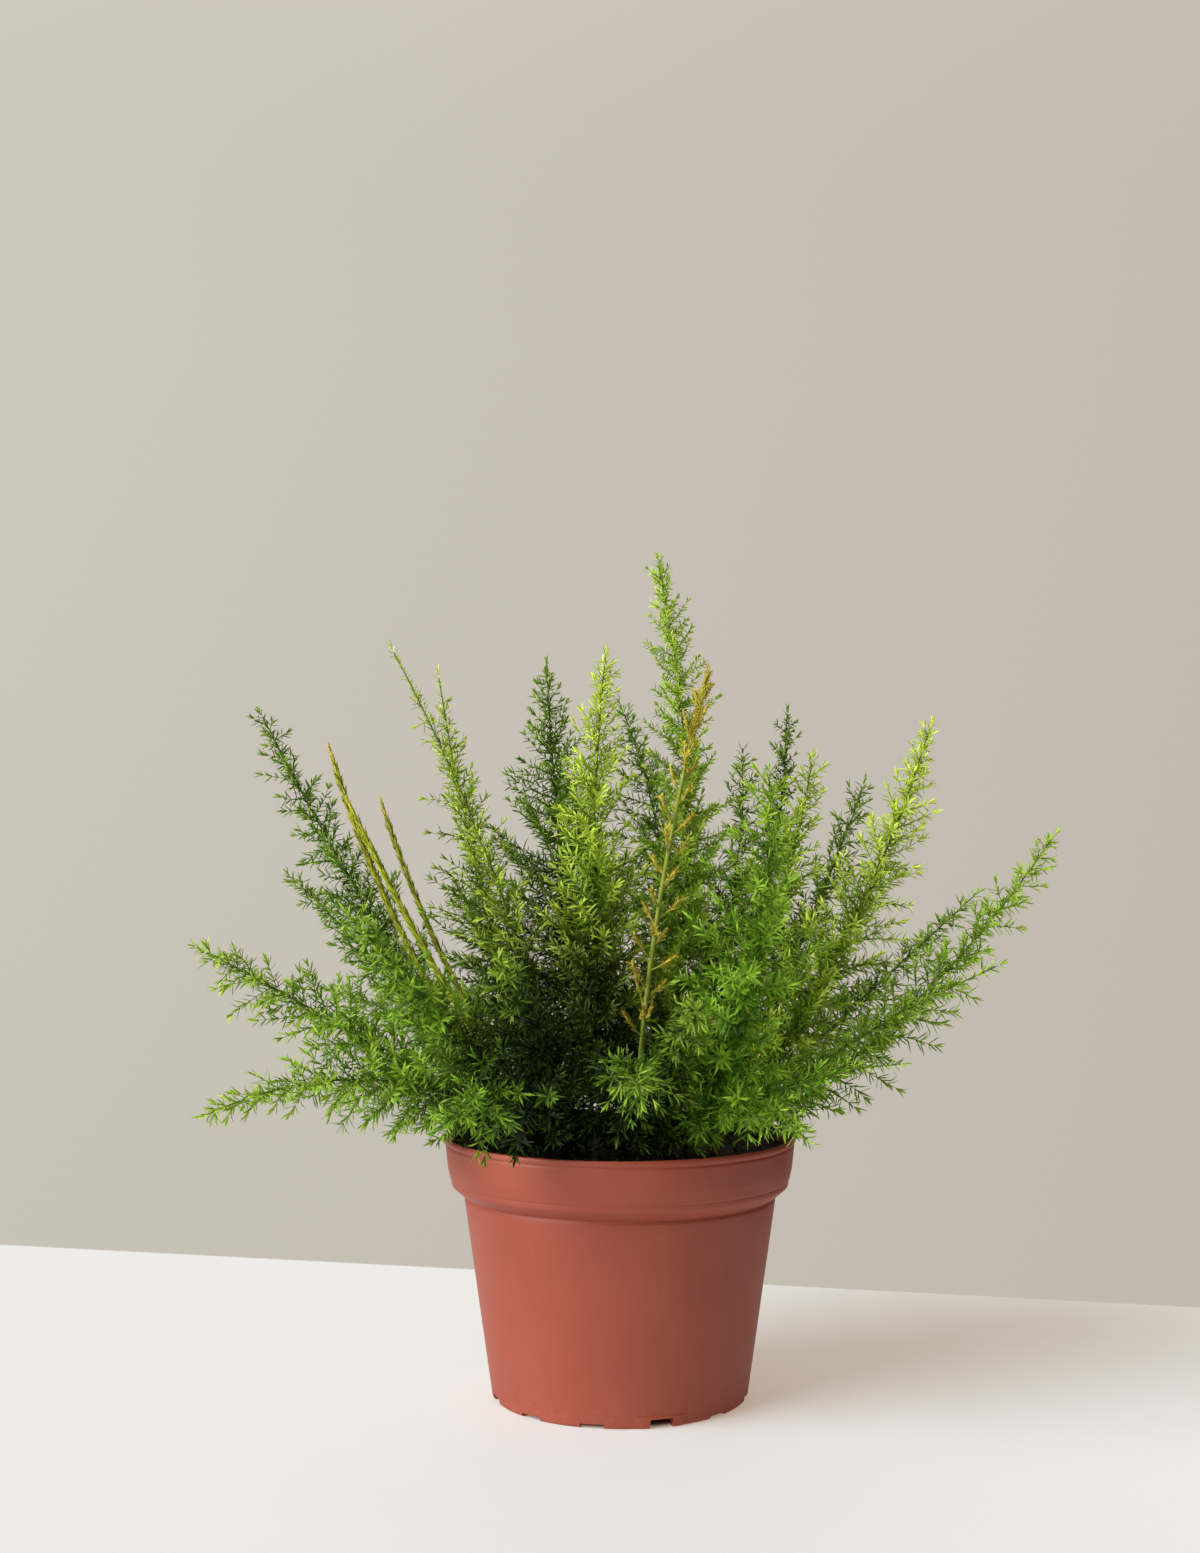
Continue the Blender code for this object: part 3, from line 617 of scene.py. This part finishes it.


# The greens: for each, the colours of the darkest needles (painted shade as well as their own
# darker tone mixes towards it), of grown and of young needles, and of the stems
greens = {
    "green_light": ((0.004, 0.02, 0.001), (0.225, 0.46, 0.018), (0.52, 0.7, 0.08), (0.22, 0.35, 0.03)),
    "green_bright": ((0.002, 0.011, 0.001), (0.15, 0.395, 0.012), (0.46, 0.67, 0.06), (0.16, 0.3, 0.02)),
    "green_dark": ((0.002, 0.01, 0.001), (0.155, 0.325, 0.016), (0.42, 0.6, 0.07), (0.13, 0.23, 0.02)),
    "green_yellow": ((0.006, 0.024, 0.001), (0.255, 0.485, 0.014), (0.72, 0.88, 0.1), (0.22, 0.32, 0.03)),
    "green_spring": ((0.26, 0.32, 0.014), (0.74, 0.82, 0.06), (0.9, 0.82, 0.11), (0.5, 0.56, 0.05)),
    "green_olive": ((0.17, 0.17, 0.012), (0.61, 0.65, 0.055), (0.8, 0.66, 0.09), (0.38, 0.4, 0.05)),
    "green_golden": ((0.24, 0.16, 0.016), (0.76, 0.64, 0.075), (0.92, 0.84, 0.13), (0.46, 0.56, 0.08)),
}
leafShine = dict(
    roughness=0.48, stemRoughness=0.58, unevenRoughness=0.12, specular=0.18, glow=0.07,
    ridgeDepth=0.0002,
)


def greenMaterial(name):
    # Waxy needles, paler where young, each a little different, on duller stems. Some light
    # passes through them.
    shaded, grown, young, bark = greens[name]
    material, sheet = newMaterial(name)
    tone = sheet.attribute("tone")
    youth = sheet.attribute("youth")
    woody = sheet.attribute("woody")
    patch = sheet.noise(55.0, 3.0)
    fleck = sheet.noise(900.0, 2.0)
    uneven = 1 + 0.6 * (patch - 0.5) + 0.4 * (fleck - 0.5)
    # tone, which holds painted shade as well as each needle's own lightness, mixes from the shaded colour
    # to the grown one and darkens the stems' ridges
    colour = sheet.mix((tone * uneven).clip(), shaded, grown)
    colour = sheet.mix((youth * uneven).clip(), colour, young)
    ridges = sheet.noise(700.0, 3.0, (1.0, 1.0, 0.25))
    stemColour = sheet.mix((ridges * (0.4 + tone)).clip(), tuple(0.3 * c for c in bark), bark)
    colour = sheet.mix(woody, colour, stemColour)
    duller = leafShine["stemRoughness"] - leafShine["roughness"]
    roughness = leafShine["roughness"] + duller * woody
    roughness = roughness + leafShine["unevenRoughness"] * (fleck - 0.5)
    bumped = sheet.bump(ridges + 0.4 * fleck, leafShine["ridgeDepth"], 0.6)
    more = {"Normal": bumped, "Specular IOR Level": leafShine["specular"]}
    waxy = sheet.principled(colour, roughness, more)
    through = tuple(min(1.0, 1.5 * c) for c in grown)
    glow = sheet.node("BsdfTranslucent", {"Color": through})
    sheet.surface(sheet.node("MixShader", {0: leafShine["glow"], 1: waxy, 2: glow}))
    return material


materials = {name: greenMaterial(name) for name in greens}


# How a frond usually grows: pitch from one side shoot to the next, step from one cluster of
# needles to the next, needles around a shoot, their length and half width. lean and spread are
# the degrees that shoots and needles lean, curve and droop bend shoots forward and down, uneven
# varies their length, and bare, end and cone give the plume's outline. tone is how light the
# foliage is, partly its own green and partly painted shade, and youth how young it is, with
# topYouth added at the tip and pale at a shoot's end.
usual = dict(
    pitch=2.3, step=2.6, around=4, needle=7.4, wide=0.54, lean=66, spread=64, curve=0.25, droop=0.0,
    uneven=0.45, bare=0.08, end=0.78, cone=1.3, tone=0.72, youth=0.08, topYouth=0.45, pale=0.25,
)
# What each kind of frond has otherwise, and its material
habits = {
    "full": dict(slot="green_bright", needle=8.4, droop=0.1, bare=0.05),
    "airy": dict(
        slot="green_light", needle=7.8, lean=64, curve=0.22, uneven=0.5, droop=0.15, youth=0.1,
        topYouth=0.55, end=0.8,
    ),
    "brush": dict(
        slot="green_dark", pitch=2.4, needle=7.2, wide=0.53, spread=62, curve=0.3, uneven=0.42,
        youth=0.06, topYouth=0.3, end=0.76, pale=0.15,
    ),
    "young": dict(
        slot="green_yellow", wide=0.52, lean=62, spread=60, curve=0.28, uneven=0.42, youth=0.02,
        end=0.74, pale=0.75,
    ),
    "sparse": dict(
        slot="green_yellow", pitch=3.6, step=2.9, around=3, needle=6.6, wide=0.48, lean=60,
        spread=60, uneven=0.6, tone=0.55, youth=0.3, end=0.8,
    ),
    "clumpy": dict(
        slot="green_light", step=2.0, needle=5.2, lean=68, spread=66, curve=0.3, uneven=0.65,
        tone=0.66, youth=0.15, topYouth=0.4, end=0.6, pale=0.15,
    ),
}

# Each frond: habit, middle and tip of its stem, longest side shoot, then what differs. A tone
# there is partly painted shade or light: lower for fronds in the shade of others, higher for
# fronds the light reaches.
fronds = {
    "frond_far_left_upper": ("airy", (-122, -28, 167), (-188, -40, 205), 32,
        dict(droop=0.45, pitch=2.0, end=0.86, tone=0.82)),
    "frond_lower_left": ("airy", (-104, -50, 147), (-177, -70, 134), 31,
        dict(droop=0.0, pitch=1.9, end=0.88, cone=0.9, tone=0.85)),
    "frond_tall_left": ("brush", (-128, 28, 233), (-174, 40, 314), 23, dict(pitch=1.8)),
    "frond_small_left": ("brush", (-128, 62, 200), (-168, 90, 234), 17, {}),
    "frond_front_left": ("full", (-81, -85, 185), (-111, -110, 222), 22, dict(pitch=2.0)),
    "frond_tall_sparse": ("sparse", (-63, -12, 251), (-105, -10, 340), 27,
        dict(pitch=2.6, end=1.0, cone=0.8)),
    "frond_thin_yellow": ("sparse", (-67, 20, 238), (-86, 20, 331), 33,
        dict(pitch=1.8, end=0.98, cone=0.9, youth=0.0, topYouth=0.9, around=4, uneven=0.4)),
    "frond_upright_dark": ("brush", (-29, 45, 247), (-36, 60, 340), 54,
        dict(pitch=1.45, end=0.97, cone=0.8, uneven=0.28)),
    "frond_centre_light": ("young", (-12, -25, 242), (-6, -20, 337), 32,
        dict(pitch=1.4, end=0.92, pale=0.5, topYouth=1.0)),
    "frond_centre_dark": ("brush", (21, 55, 240), (-1, 80, 322), 33, dict(pitch=1.7, end=0.95)),
    "frond_tallest": ("clumpy", (31, 8, 262), (17, 10, 385), 28,
        dict(pitch=1.25, end=0.78, tone=0.95, youth=0.42, topYouth=0.6, uneven=0.5)),
    "frond_small_dark": ("brush", (56, 55, 228), (61, 70, 296), 24, dict(tone=0.55)),
    "frond_thin_dark": ("clumpy", (75, 75, 236), (86, 100, 319), 16,
        dict(slot="green_dark", pitch=1.4, tone=0.42, topYouth=0.1)),
    "frond_right_centre": ("full", (58, -72, 205), (64, -60, 281), 35,
        dict(topYouth=0.6, pitch=1.8, bare=0.22)),
    "frond_light_behind": ("young", (77, 15, 232), (91, 20, 290), 26, dict(pitch=1.8)),
    "frond_dark_right": ("brush", (94, 42, 218), (120, 60, 280), 25, dict(pitch=1.9, cone=0.9)),
    "frond_yellow_right": ("young", (110, -8, 222), (142, -10, 305), 28,
        dict(pitch=1.4, end=0.88, topYouth=0.9)),
    "frond_far_right": ("airy", (137, -24, 184), (194, -30, 255), 22, {}),
    "frond_low_right": ("airy", (109, -45, 168), (163, -60, 198), 11, {}),
    "frond_low_right_front": ("full", (75, -78, 150), (116, -100, 160), 8, dict(droop=-0.1)),
    "frond_low_left_front": ("full", (-48, -85, 146), (-70, -125, 138), 31,
        dict(tone=0.7, youth=0.0, topYouth=0.2, droop=0.3)),
    "frond_front_centre": ("full", (4, -84, 152), (8, -138, 155), 24,
        dict(tone=0.4, youth=0.0, droop=0.9)),
    "frond_front_rosette": ("full", (27, -86, 170), (30, -128, 184), 17,
        dict(slot="green_light", tone=0.32, youth=0.0)),
    "frond_right_over_rim": ("full", (52, -80, 142), (76, -112, 130), 16, dict(droop=0.35)),
    "frond_left_rosette": ("full", (-38, -72, 178), (-50, -105, 204), 20, dict(tone=0.42, youth=0.0)),
    "frond_back_left": ("brush", (-62, 80, 190), (-85, 122, 230), 28, {}),
    "frond_back_left_low": ("airy", (-62, 98, 160), (-100, 158, 172), 26, {}),
    "frond_back_upright": ("brush", (-14, 88, 222), (-28, 128, 284), 30, dict(slot="green_light")),
    "frond_back_low": ("airy", (4, 112, 160), (6, 180, 158), 27, {}),
    "frond_back_right": ("full", (50, 98, 195), (72, 150, 243), 28, {}),
    "frond_back_right_low": ("airy", (86, 86, 160), (138, 138, 170), 12, {}),
    "frond_back_right_side": ("full", (118, 36, 178), (176, 62, 226), 12, dict(tone=0.5)),
    "frond_back_left_side": ("full", (-96, 66, 158), (-150, 100, 176), 22, {}),
}
growth = dict(
    seed=20, rootShare=0.38, rootLevel=108.5, rootHeight=114.0, goldenTurn=math.radians(137.5),
    finePoints=200, stemPoints=22, stemEnd=0.985, stemSides=8, stemRadius=(0.85, 0.28), sway=0.5,
    swayTurns=19.0, knobs=0.06, knobTurns=160.0, shootRadius=(0.3, 0.14), shootSteps=5,
    shootSides=3, lastShoot=0.975, shortestShoot=3.5, probes=25, standOff=0.05, firstNode=1.6,
    stemNeedlesFrom=0.3, stemNeedleStep=0.6, stemNeedles=2, needleLean=(8.0, 85.0), clear=0.5,
    # heart, its size and depth, and the low heights place the painted shade in the foliage
    lowest=1.0, boxRoom=0.4, heart=(-25.0, 140.0), heartSize=(60.0, 88.0), heartDepth=(62.0, 46.0),
    heartPaintedLight=0.03, lowHeights=(115.0, 185.0), lowPaintedLight=0.92,
)


def stemLine(middle, tip, share):
    # A quadratic arch from the root through the middle to the tip:
    # (1 - t)^2 root + 2 t (1 - t) bow + t^2 tip, where bow makes it pass through the middle
    middle, tip = np.array(middle, float), np.array(tip, float)
    root = np.array((*(growth["rootShare"] * middle[:2]), growth["rootHeight"]))
    lower = np.linalg.norm(middle - root)
    half = lower / (lower + np.linalg.norm(tip - middle))
    bow = (middle - (1 - half) ** 2 * root - half**2 * tip) / (2 * half * (1 - half))
    t = np.asarray(share)[..., None]
    line = (1 - t) ** 2 * root + 2 * t * (1 - t) * bow + t**2 * tip
    ahead = 2 * (1 - t) * (bow - root) + 2 * t * (tip - bow)
    return line, unit(ahead)


def stemRun(middle, tip, count):
    # Shares from the stem's root to its tip, and the way along the stem to each of them
    share = np.linspace(0, 1, count)
    steps = np.linalg.norm(np.diff(stemLine(middle, tip, share)[0], axis=0), axis=1)
    return share, np.concatenate(([0.0], np.cumsum(steps)))


def planted(stem):
    # The stem's points after one more below them, on the floor of its hole
    foot = stem[0] * (1, 1, 0) + (0, 0, growth["rootLevel"])
    return np.concatenate((foot[None], stem))


def swayed(points, share, forward, number):
    # Slight waves to one side of the stem: sway * sin(swayTurns * share + number) * share
    wave = growth["sway"] * np.sin(share * growth["swayTurns"] + number) * share
    return points + framesAlong(forward)[0] * wave[:, None]


def alongShoots(shoots, t):
    # Places and directions at the shares t of shoots (feet, lengths, directions, bends):
    # foot + length * (t * away + t^2 / 2 * bend), and away + t * bend
    feet, length, away, bend = (values[:, None] for values in shoots)
    t = t[..., None]
    place = feet + length[..., None] * (t * away + 0.5 * t**2 * bend)
    return place, unit(away + t * bend)


def framesAlong(ahead):
    # Two directions square to each of the given ones
    side = unit(np.cross(ahead, (0.05, 0.11, 1.0)))
    return side, np.cross(side, ahead)


def blocked(points):
    # True where a point would be in the pot's wall, in the soil or under the floor
    radius = np.hypot(points[..., 0], points[..., 1])
    height = points[..., 2]
    outer = outerRadius(height)
    inner = outer - pot["wall"]
    gap = growth["clear"]
    wall = (height < outerHeights[-1] + gap) & (radius > inner - gap) & (radius < outer + gap)
    ground = (height < np.interp(radius, soilTop[:, 0], soilTop[:, 1]) + gap) & (radius < inner)
    return wall | ground | (height < growth["lowest"])


def past(share, start):
    # 0 up to the start and then evenly up to 1: (share - start) / (1 - start)
    return np.clip((share - start) / (1 - start), 0, 1)


def plume(share, bare, end, cone):
    # Side shoots swell above the bare foot and taper towards the tip:
    # min(1, 0.62 + 1.6 (t - bare)) * (1 - end ((t - 0.4) / 0.6)^cone)
    swell = np.minimum(1.0, 0.62 + 1.6 * (share - bare))
    taper = 1 - end * past(share, 0.4) ** cone
    return swell * taper


def paintedDaylight(points):
    # Painted shade: foliage darkens towards the plant's heart and the soil, where shade falls. With
    # r^2 = ((x - a) / w)^2 + ((z - b) / h)^2 + (max(|y| - c, 0) / d)^2
    # the share of painted light is least + (1 - least) * 1.2 (r^2 - 0.3), kept between least and 1,
    # where least is the share at the heart, and it falls to the low heights' share of itself down
    # the low heights.
    (aside, above), (wide, tall) = growth["heart"], growth["heartSize"]
    inner, deep = growth["heartDepth"]
    far = ((points[:, 0] - aside) / wide) ** 2 + ((points[:, 2] - above) / tall) ** 2
    far = far + (np.maximum(np.abs(points[:, 1]) - inner, 0) / deep) ** 2
    share = growth["heartPaintedLight"] + (1 - growth["heartPaintedLight"]) * np.clip(1.2 * (far - 0.3), 0, 1)
    return share * np.interp(points[:, 2], growth["lowHeights"], (growth["lowPaintedLight"], 1))


def makeFrond(name, number):
    # A stem, side shoots that stop where the pot or the soil is in their way, and their needles
    kind, middle, tip, reach, changes = fronds[name]
    own = {**usual, **habits[kind], **changes}
    slot = own["slot"]
    rng = np.random.default_rng(growth["seed"] + number)
    shape = Shape()

    # the stem
    share, run = stemRun(middle, tip, growth["finePoints"])
    few = np.linspace(0, growth["stemEnd"], growth["stemPoints"])
    stem, forward = stemLine(middle, tip, few)
    stem = planted(swayed(stem, few, forward, number))
    knobbly = 1 + growth["knobs"] * np.sin(few * growth["knobTurns"])
    radius = np.interp(few, (0, 1), growth["stemRadius"]) * knobbly
    radius = np.concatenate((radius[:1], radius))
    made, faces = tubes(stem[None], radius[None], growth["stemSides"])
    # the stem's tone darkens with the painted shade towards the plant's heart and the soil
    shape.add(made, faces, tone=0.5 * paintedDaylight(made.reshape(-1, 3)), youth=0.0, woody=0.8)

    # the side shoots' feet, directions, lengths and curves
    leafy = growth["lastShoot"] - own["bare"]
    many = int(leafy * run[-1] / own["pitch"])
    spread = (np.arange(many) + rng.uniform(-0.3, 0.3, many)) / many
    starts = run[-1] * (own["bare"] + leafy * np.clip(spread, 0, 1) ** 1.3)
    place = np.interp(starts, run, share)
    feet, forward = stemLine(middle, tip, place)
    feet = swayed(feet, place, forward, number)
    turn = growth["goldenTurn"] * np.arange(many) + rng.normal(0, 0.3, many)
    lean = np.radians(own["lean"] * (1.08 - 0.25 * place) + rng.normal(0, 10.0, many))
    away = fan(lean, forward, fan(turn, *framesAlong(forward)))
    uneven = 1.06 - own["uneven"] * rng.uniform(0, 1, many) ** 1.5
    length = reach * plume(place, own["bare"], own["end"], own["cone"]) * uneven
    sag = own["droop"] * np.array((0, 0, 1.0)) * place[:, None] ** 0.5
    bend = own["curve"] * forward - sag + rng.normal(0, 0.22, forward.shape)

    # how much of each is free of the pot and the soil
    fine = np.linspace(0, 1, growth["probes"])
    shoots = feet, length, away, bend
    stopped = blocked(alongShoots(shoots, fine[None])[0]).cumsum(axis=1) > 0
    clear = fine[stopped.argmax(axis=1) - 1] - growth["standOff"]
    free = np.where(stopped.any(axis=1), clear, 1.0)
    free = np.where(stopped[:, 0], 0.0, free)
    keep = length * free > growth["shortestShoot"]
    shoots = [values[keep] for values in shoots]
    length, free, place = length[keep], free[keep], place[keep]
    t = np.linspace(0, 1, growth["shootSteps"])[None] * free[:, None]
    lines = alongShoots(shoots, t)[0]
    thick = np.interp(t, (0, 1), growth["shootRadius"]) * (0.75 + 0.25 * (length / reach))[:, None]
    made, faces = tubes(lines, thick, growth["shootSides"])
    young = np.repeat(0.25 * place, made.shape[1])
    # the shoots' tone darkens with the same painted shade
    shape.add(made, faces, tone=0.5 * paintedDaylight(made.reshape(-1, 3)), youth=young, woody=0.5)

    # clusters of needles along the side shoots
    most = int(np.ceil(length.max() / own["step"])) + 1
    loose = rng.uniform(-0.25, 0.25, (len(length), most))
    spot = growth["firstNode"] + own["step"] * (np.arange(most)[None] + loose)
    at = spot / length[:, None]
    last = at + own["step"] / length[:, None]
    shoot, node = np.nonzero(at < free[:, None])
    at = np.minimum(at[shoot, node], free[shoot])
    ending = last[shoot, node] >= free[shoot]
    knot, axis = alongShoots([values[shoot] for values in shoots], at[:, None])
    place = place[shoot]
    addNeedles(shape, rng, own, knot[:, 0], axis[:, 0], at, place, ending, own["around"])

    # needles that stand on the upper part of the stem itself
    step = own["step"] * growth["stemNeedleStep"]
    starts = np.arange(growth["stemNeedlesFrom"] * run[-1], run[-1], step)
    place = np.interp(starts, run, share)
    knot, axis = stemLine(middle, tip, place)
    place = np.minimum(place, 0.99)
    ending = place > growth["stemEnd"]
    addNeedles(shape, rng, own, knot, axis, place * 0.6, place, ending, growth["stemNeedles"])
    item = shape.piece(name.replace("frond", "plume"), materials[slot])
    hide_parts(name)
    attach(item, "root")
    return len(item.data.polygons)


def addNeedles(shape, rng, own, knot, axis, at, place, ending, around):
    # around needles at each knot, leaning from its axis; at a shoot's end they close to a tuft.
    # Needles in the pot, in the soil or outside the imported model's box are left out.
    count = len(knot)
    turn = rng.uniform(0, 2 * np.pi, (count, 1)) + 2 * np.pi * np.arange(around) / around
    turn = turn + rng.normal(0, 0.35, turn.shape)
    lean = own["spread"] * (1 - 0.25 * at[:, None] ** 2) + rng.normal(0, 14.0, turn.shape)
    lean = np.where(ending[:, None], lean * 0.5, lean)
    lean = np.radians(np.clip(lean, *growth["needleLean"]))
    side, up = framesAlong(axis)
    ways = fan(lean, axis[:, None], fan(turn, side[:, None], up[:, None]))
    long = own["needle"] * rng.uniform(0.72, 1.15, turn.shape)
    long = long * (1 - 0.22 * at[:, None] ** 2) * (1 - 0.26 * past(place[:, None], 0.45))
    feet, axes = np.repeat(knot, around, axis=0), np.repeat(axis, around, axis=0)
    ways, long = ways.reshape(-1, 3), long.ravel()
    wide = own["wide"] * rng.uniform(0.8, 1.15, len(long)) * (0.7 + 0.3 * long / own["needle"])
    bow = rng.normal(0.03, 0.04, len(long))
    points = needles(feet, ways, axes, long, wide, bow)[0]
    low = np.array(cadLow) / mm - growth["boxRoom"]
    high = np.array(cadHigh) / mm + growth["boxRoom"]
    outside = ((points < low) | (points > high)).any(axis=(1, 2))
    good = ~(blocked(points[:, 3:]).any(axis=1) | outside)
    feet, ways, axes, long, wide, bow = (
        values[good] for values in (feet, ways, axes, long, wide, bow)
    )
    group = np.repeat(rng.normal(0, 0.11, count), around)[good]
    spread = np.repeat(place, around)[good]
    onShoot = np.repeat(at, around)[good]
    # a needle's tone: the frond's own, lower towards a shoot's foot as painted shade in the plume's core,
    # random per cluster and per needle, then darkened by the painted shade towards the heart
    tone = own["tone"] + 0.22 * (onShoot - 0.5) + group + rng.normal(0, 0.14, good.sum())
    tone = tone * paintedDaylight(feet + 0.5 * long[:, None] * ways)
    youth = own["youth"] + own["topYouth"] * past(spread, 0.35) ** 1.6
    youth = youth + own["pale"] * onShoot**1.5 + rng.normal(0, 0.1, good.sum())
    # young paleness fades where the painted shade is deep
    youth = youth * np.clip(2.5 * tone, 0, 1)
    blades = needles(feet, ways, axes, long, wide, bow)
    addBlades(shape, blades, tone, youth, blade["shades"])


# The spears: tight sheaths of scaly buds round a stem. Middle, tip, material and half width
spears = {
    "spear_olive": ((-105, 5, 217), (-136, 10, 296), "green_olive", 1.9),
    "spear_yellow": ((-94, -18, 213), (-123, -25, 271), "green_spring", 2.0),
    "spear_short": ((-87, 22, 204), (-114, 30, 271), "green_olive", 1.6),
}
sheath = dict(
    seed=60, finePoints=120, stemPoints=20, stemEnd=0.99, stemSides=10, stemRadius=(1.35, 0.45),
    stemLook=dict(tone=0.45, youth=0.1, woody=0.7), bare=0.22, pitch=1.15, closing=22.0, scales=4,
    scale=6.2, shortest=1.6, wide=0.55, lean=13.0, shift=3.0, foot=0.6,
)


def addStem(shape, middle, tip, look):
    # An evenly tapering stem from its hole up to the share stemEnd
    few = np.linspace(0, look["stemEnd"], look["stemPoints"])
    stem = planted(stemLine(middle, tip, few)[0])
    radius = np.linspace(*look["stemRadius"], len(stem))
    made, faces = tubes(stem[None], radius[None], look["stemSides"])
    shape.add(made, faces, **look["stemLook"])


def makeSpear(name, number):
    # A stem with a few scales at each bud, all pressed forward. Buds are thinner and scales
    # shorter over the last stretch before the tip.
    middle, tip, slot, half = spears[name]
    rng = np.random.default_rng(sheath["seed"] + number)
    shape = Shape()
    addStem(shape, middle, tip, sheath)
    share, run = stemRun(middle, tip, sheath["finePoints"])
    starts = np.arange(sheath["bare"] * run[-1], run[-1] - 1.0, sheath["pitch"])
    knot, axis = stemLine(middle, tip, np.interp(starts, run, share))
    turn = growth["goldenTurn"] * np.arange(len(knot))
    side, up = framesAlong(axis)
    left = np.clip((run[-1] - starts) / sheath["closing"], 0.0, 1.0)
    thin = 0.3 + 0.7 * left**0.7
    knot = knot + fan(turn, side, up) * (half * 0.42 * thin)[:, None]

    each = len(knot), sheath["scales"]
    lean = np.radians(sheath["lean"] * thin[:, None] + rng.normal(0, 4.0, each))
    swing = turn[:, None] + rng.normal(0, 0.55, each)
    ways = fan(lean, axis[:, None], fan(swing, side[:, None], up[:, None])).reshape(-1, 3)
    shift = rng.uniform(0, sheath["shift"], each)
    feet = (knot[:, None] + shift[..., None] * axis[:, None]).reshape(-1, 3)
    long = sheath["scale"] * (0.45 + 0.55 * left)[:, None] * rng.uniform(0.7, 1.1, each)
    over = np.repeat(run[-1] - starts, each[1]) + 0.5 - shift.ravel()
    long = np.minimum(long.ravel(), np.maximum(over, sheath["shortest"]))
    left = np.repeat(left, each[1])
    wide = sheath["wide"] * rng.uniform(0.8, 1.15, len(long)) * (0.55 + 0.45 * left)
    axes = np.repeat(axis, each[1], axis=0)
    bow = rng.uniform(0.04, 0.1, len(long))
    tone = 0.5 + rng.normal(0, 0.22, len(long))
    youth = 0.9 - 1.1 * left + rng.normal(0.12, 0.16, len(long))
    addBlades(shape, needles(feet, ways, axes, long, wide, bow, sheath["foot"]), tone, youth)
    item = shape.piece(name + "_sheath", materials[slot])
    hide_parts(name)
    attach(item, "root")
    return len(item.data.polygons)


# The golden flowering shoot: stalks end in bristly buds, which close up towards its tip. A
# stalk's radii and its bark go with the shares of its length in stalkShares and barkShares.
golden = dict(
    middle=(18, -48, 228), tip=(39, -50, 326), seed=77, finePoints=120, stemPoints=24,
    stemEnd=0.985, stemSides=10, stemRadius=(1.3, 0.75),
    stemLook=dict(tone=0.6, youth=0.2, woody=1.0), stretch=(0.24, 0.97), pitch=4.6, lean=50.0,
    curve=0.35, stalk=(9.0, 14.5), stalkSteps=6, stalkSides=6, stalkShares=(0, 0.5, 0.8, 1),
    stalkRadii=(0.42, 0.36, 0.75, 0.35), barkShares=(0.45, 0.7), bark=(0.85, 0.0), budLength=8.5,
    bristles=34, bristle=3.6, bristleLean=(14.0, 58.0), wide=0.36, topBristles=480, topFrom=0.84,
)


def makeGolden():
    # A stem, stalks that thicken to buds, and bristles on the buds and on the stem's own top
    middle, tip = golden["middle"], golden["tip"]
    rng = np.random.default_rng(golden["seed"])
    shape = Shape()
    addStem(shape, middle, tip, golden)
    share, run = stemRun(middle, tip, golden["finePoints"])
    low, high = golden["stretch"]
    starts = np.arange(low * run[-1], high * run[-1], golden["pitch"])
    count = len(starts)
    starts = starts + rng.uniform(-1.2, 1.2, count)
    place = np.interp(starts, run, share)
    feet, forward = stemLine(middle, tip, place)
    turn = growth["goldenTurn"] * np.arange(count) + rng.normal(0, 0.25, count)
    lean = np.radians(golden["lean"] - 22.0 * past(place, 0.5) + rng.normal(0, 5.0, count))
    away = fan(lean, forward, fan(turn, *framesAlong(forward)))
    short, long = golden["stalk"]
    length = short + (long - short) * rng.uniform(0, 1, count)
    length = length * (1 - 0.45 * past(place, 0.55))
    bend = golden["curve"] * forward + rng.normal(0, 0.1, forward.shape)
    stalks = feet, length, away, bend
    t = np.linspace(0, 1, golden["stalkSteps"])
    lines = alongShoots(stalks, t[None])[0]
    thick = np.interp(t, golden["stalkShares"], golden["stalkRadii"])
    made, faces = tubes(lines, np.broadcast_to(thick, lines.shape[:2]), golden["stalkSides"])
    bark = np.repeat(np.interp(t, golden["barkShares"], golden["bark"]), golden["stalkSides"])
    bark = np.tile(np.concatenate((bark, golden["bark"])), count)
    shape.add(made, faces, tone=0.4, youth=0.2, woody=bark)

    # bristles over the outer part of each stalk, and over the stem's own top
    bud = np.minimum(1.0, golden["budLength"] / length)[:, None]
    at = 1 - rng.uniform(0, 1, (count, golden["bristles"])) * bud
    shares = rng.uniform(golden["topFrom"], golden["stemEnd"], golden["topBristles"])
    spot, axis = (
        np.concatenate((onStalk.reshape(-1, 3), onStem))
        for onStalk, onStem in zip(alongShoots(stalks, at), stemLine(middle, tip, shares))
    )
    count = len(spot)
    turn = rng.uniform(0, 2 * np.pi, count)
    lean = np.radians(rng.uniform(*golden["bristleLean"], count))
    ways = fan(lean, axis, fan(turn, *framesAlong(axis)))
    long = golden["bristle"] * rng.uniform(0.65, 1.2, count)
    wide = golden["wide"] * rng.uniform(0.8, 1.2, count)
    blades = needles(spot, ways, axis, long, wide, rng.normal(0.05, 0.04, count))
    tone = rng.normal(0.55, 0.25, count)
    addBlades(shape, blades, tone, rng.normal(0.25, 0.2, count))
    item = shape.piece("golden_buds", materials["green_golden"])
    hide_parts("shoot_golden")
    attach(item, "root")
    return len(item.data.polygons)


total = sum(makeFrond(name, number) for number, name in enumerate(fronds))
print("fronds ready, faces:", total)
total = sum(makeSpear(name, number) for number, name in enumerate(spears)) + makeGolden()
print("spears and golden shoot ready, faces:", total)
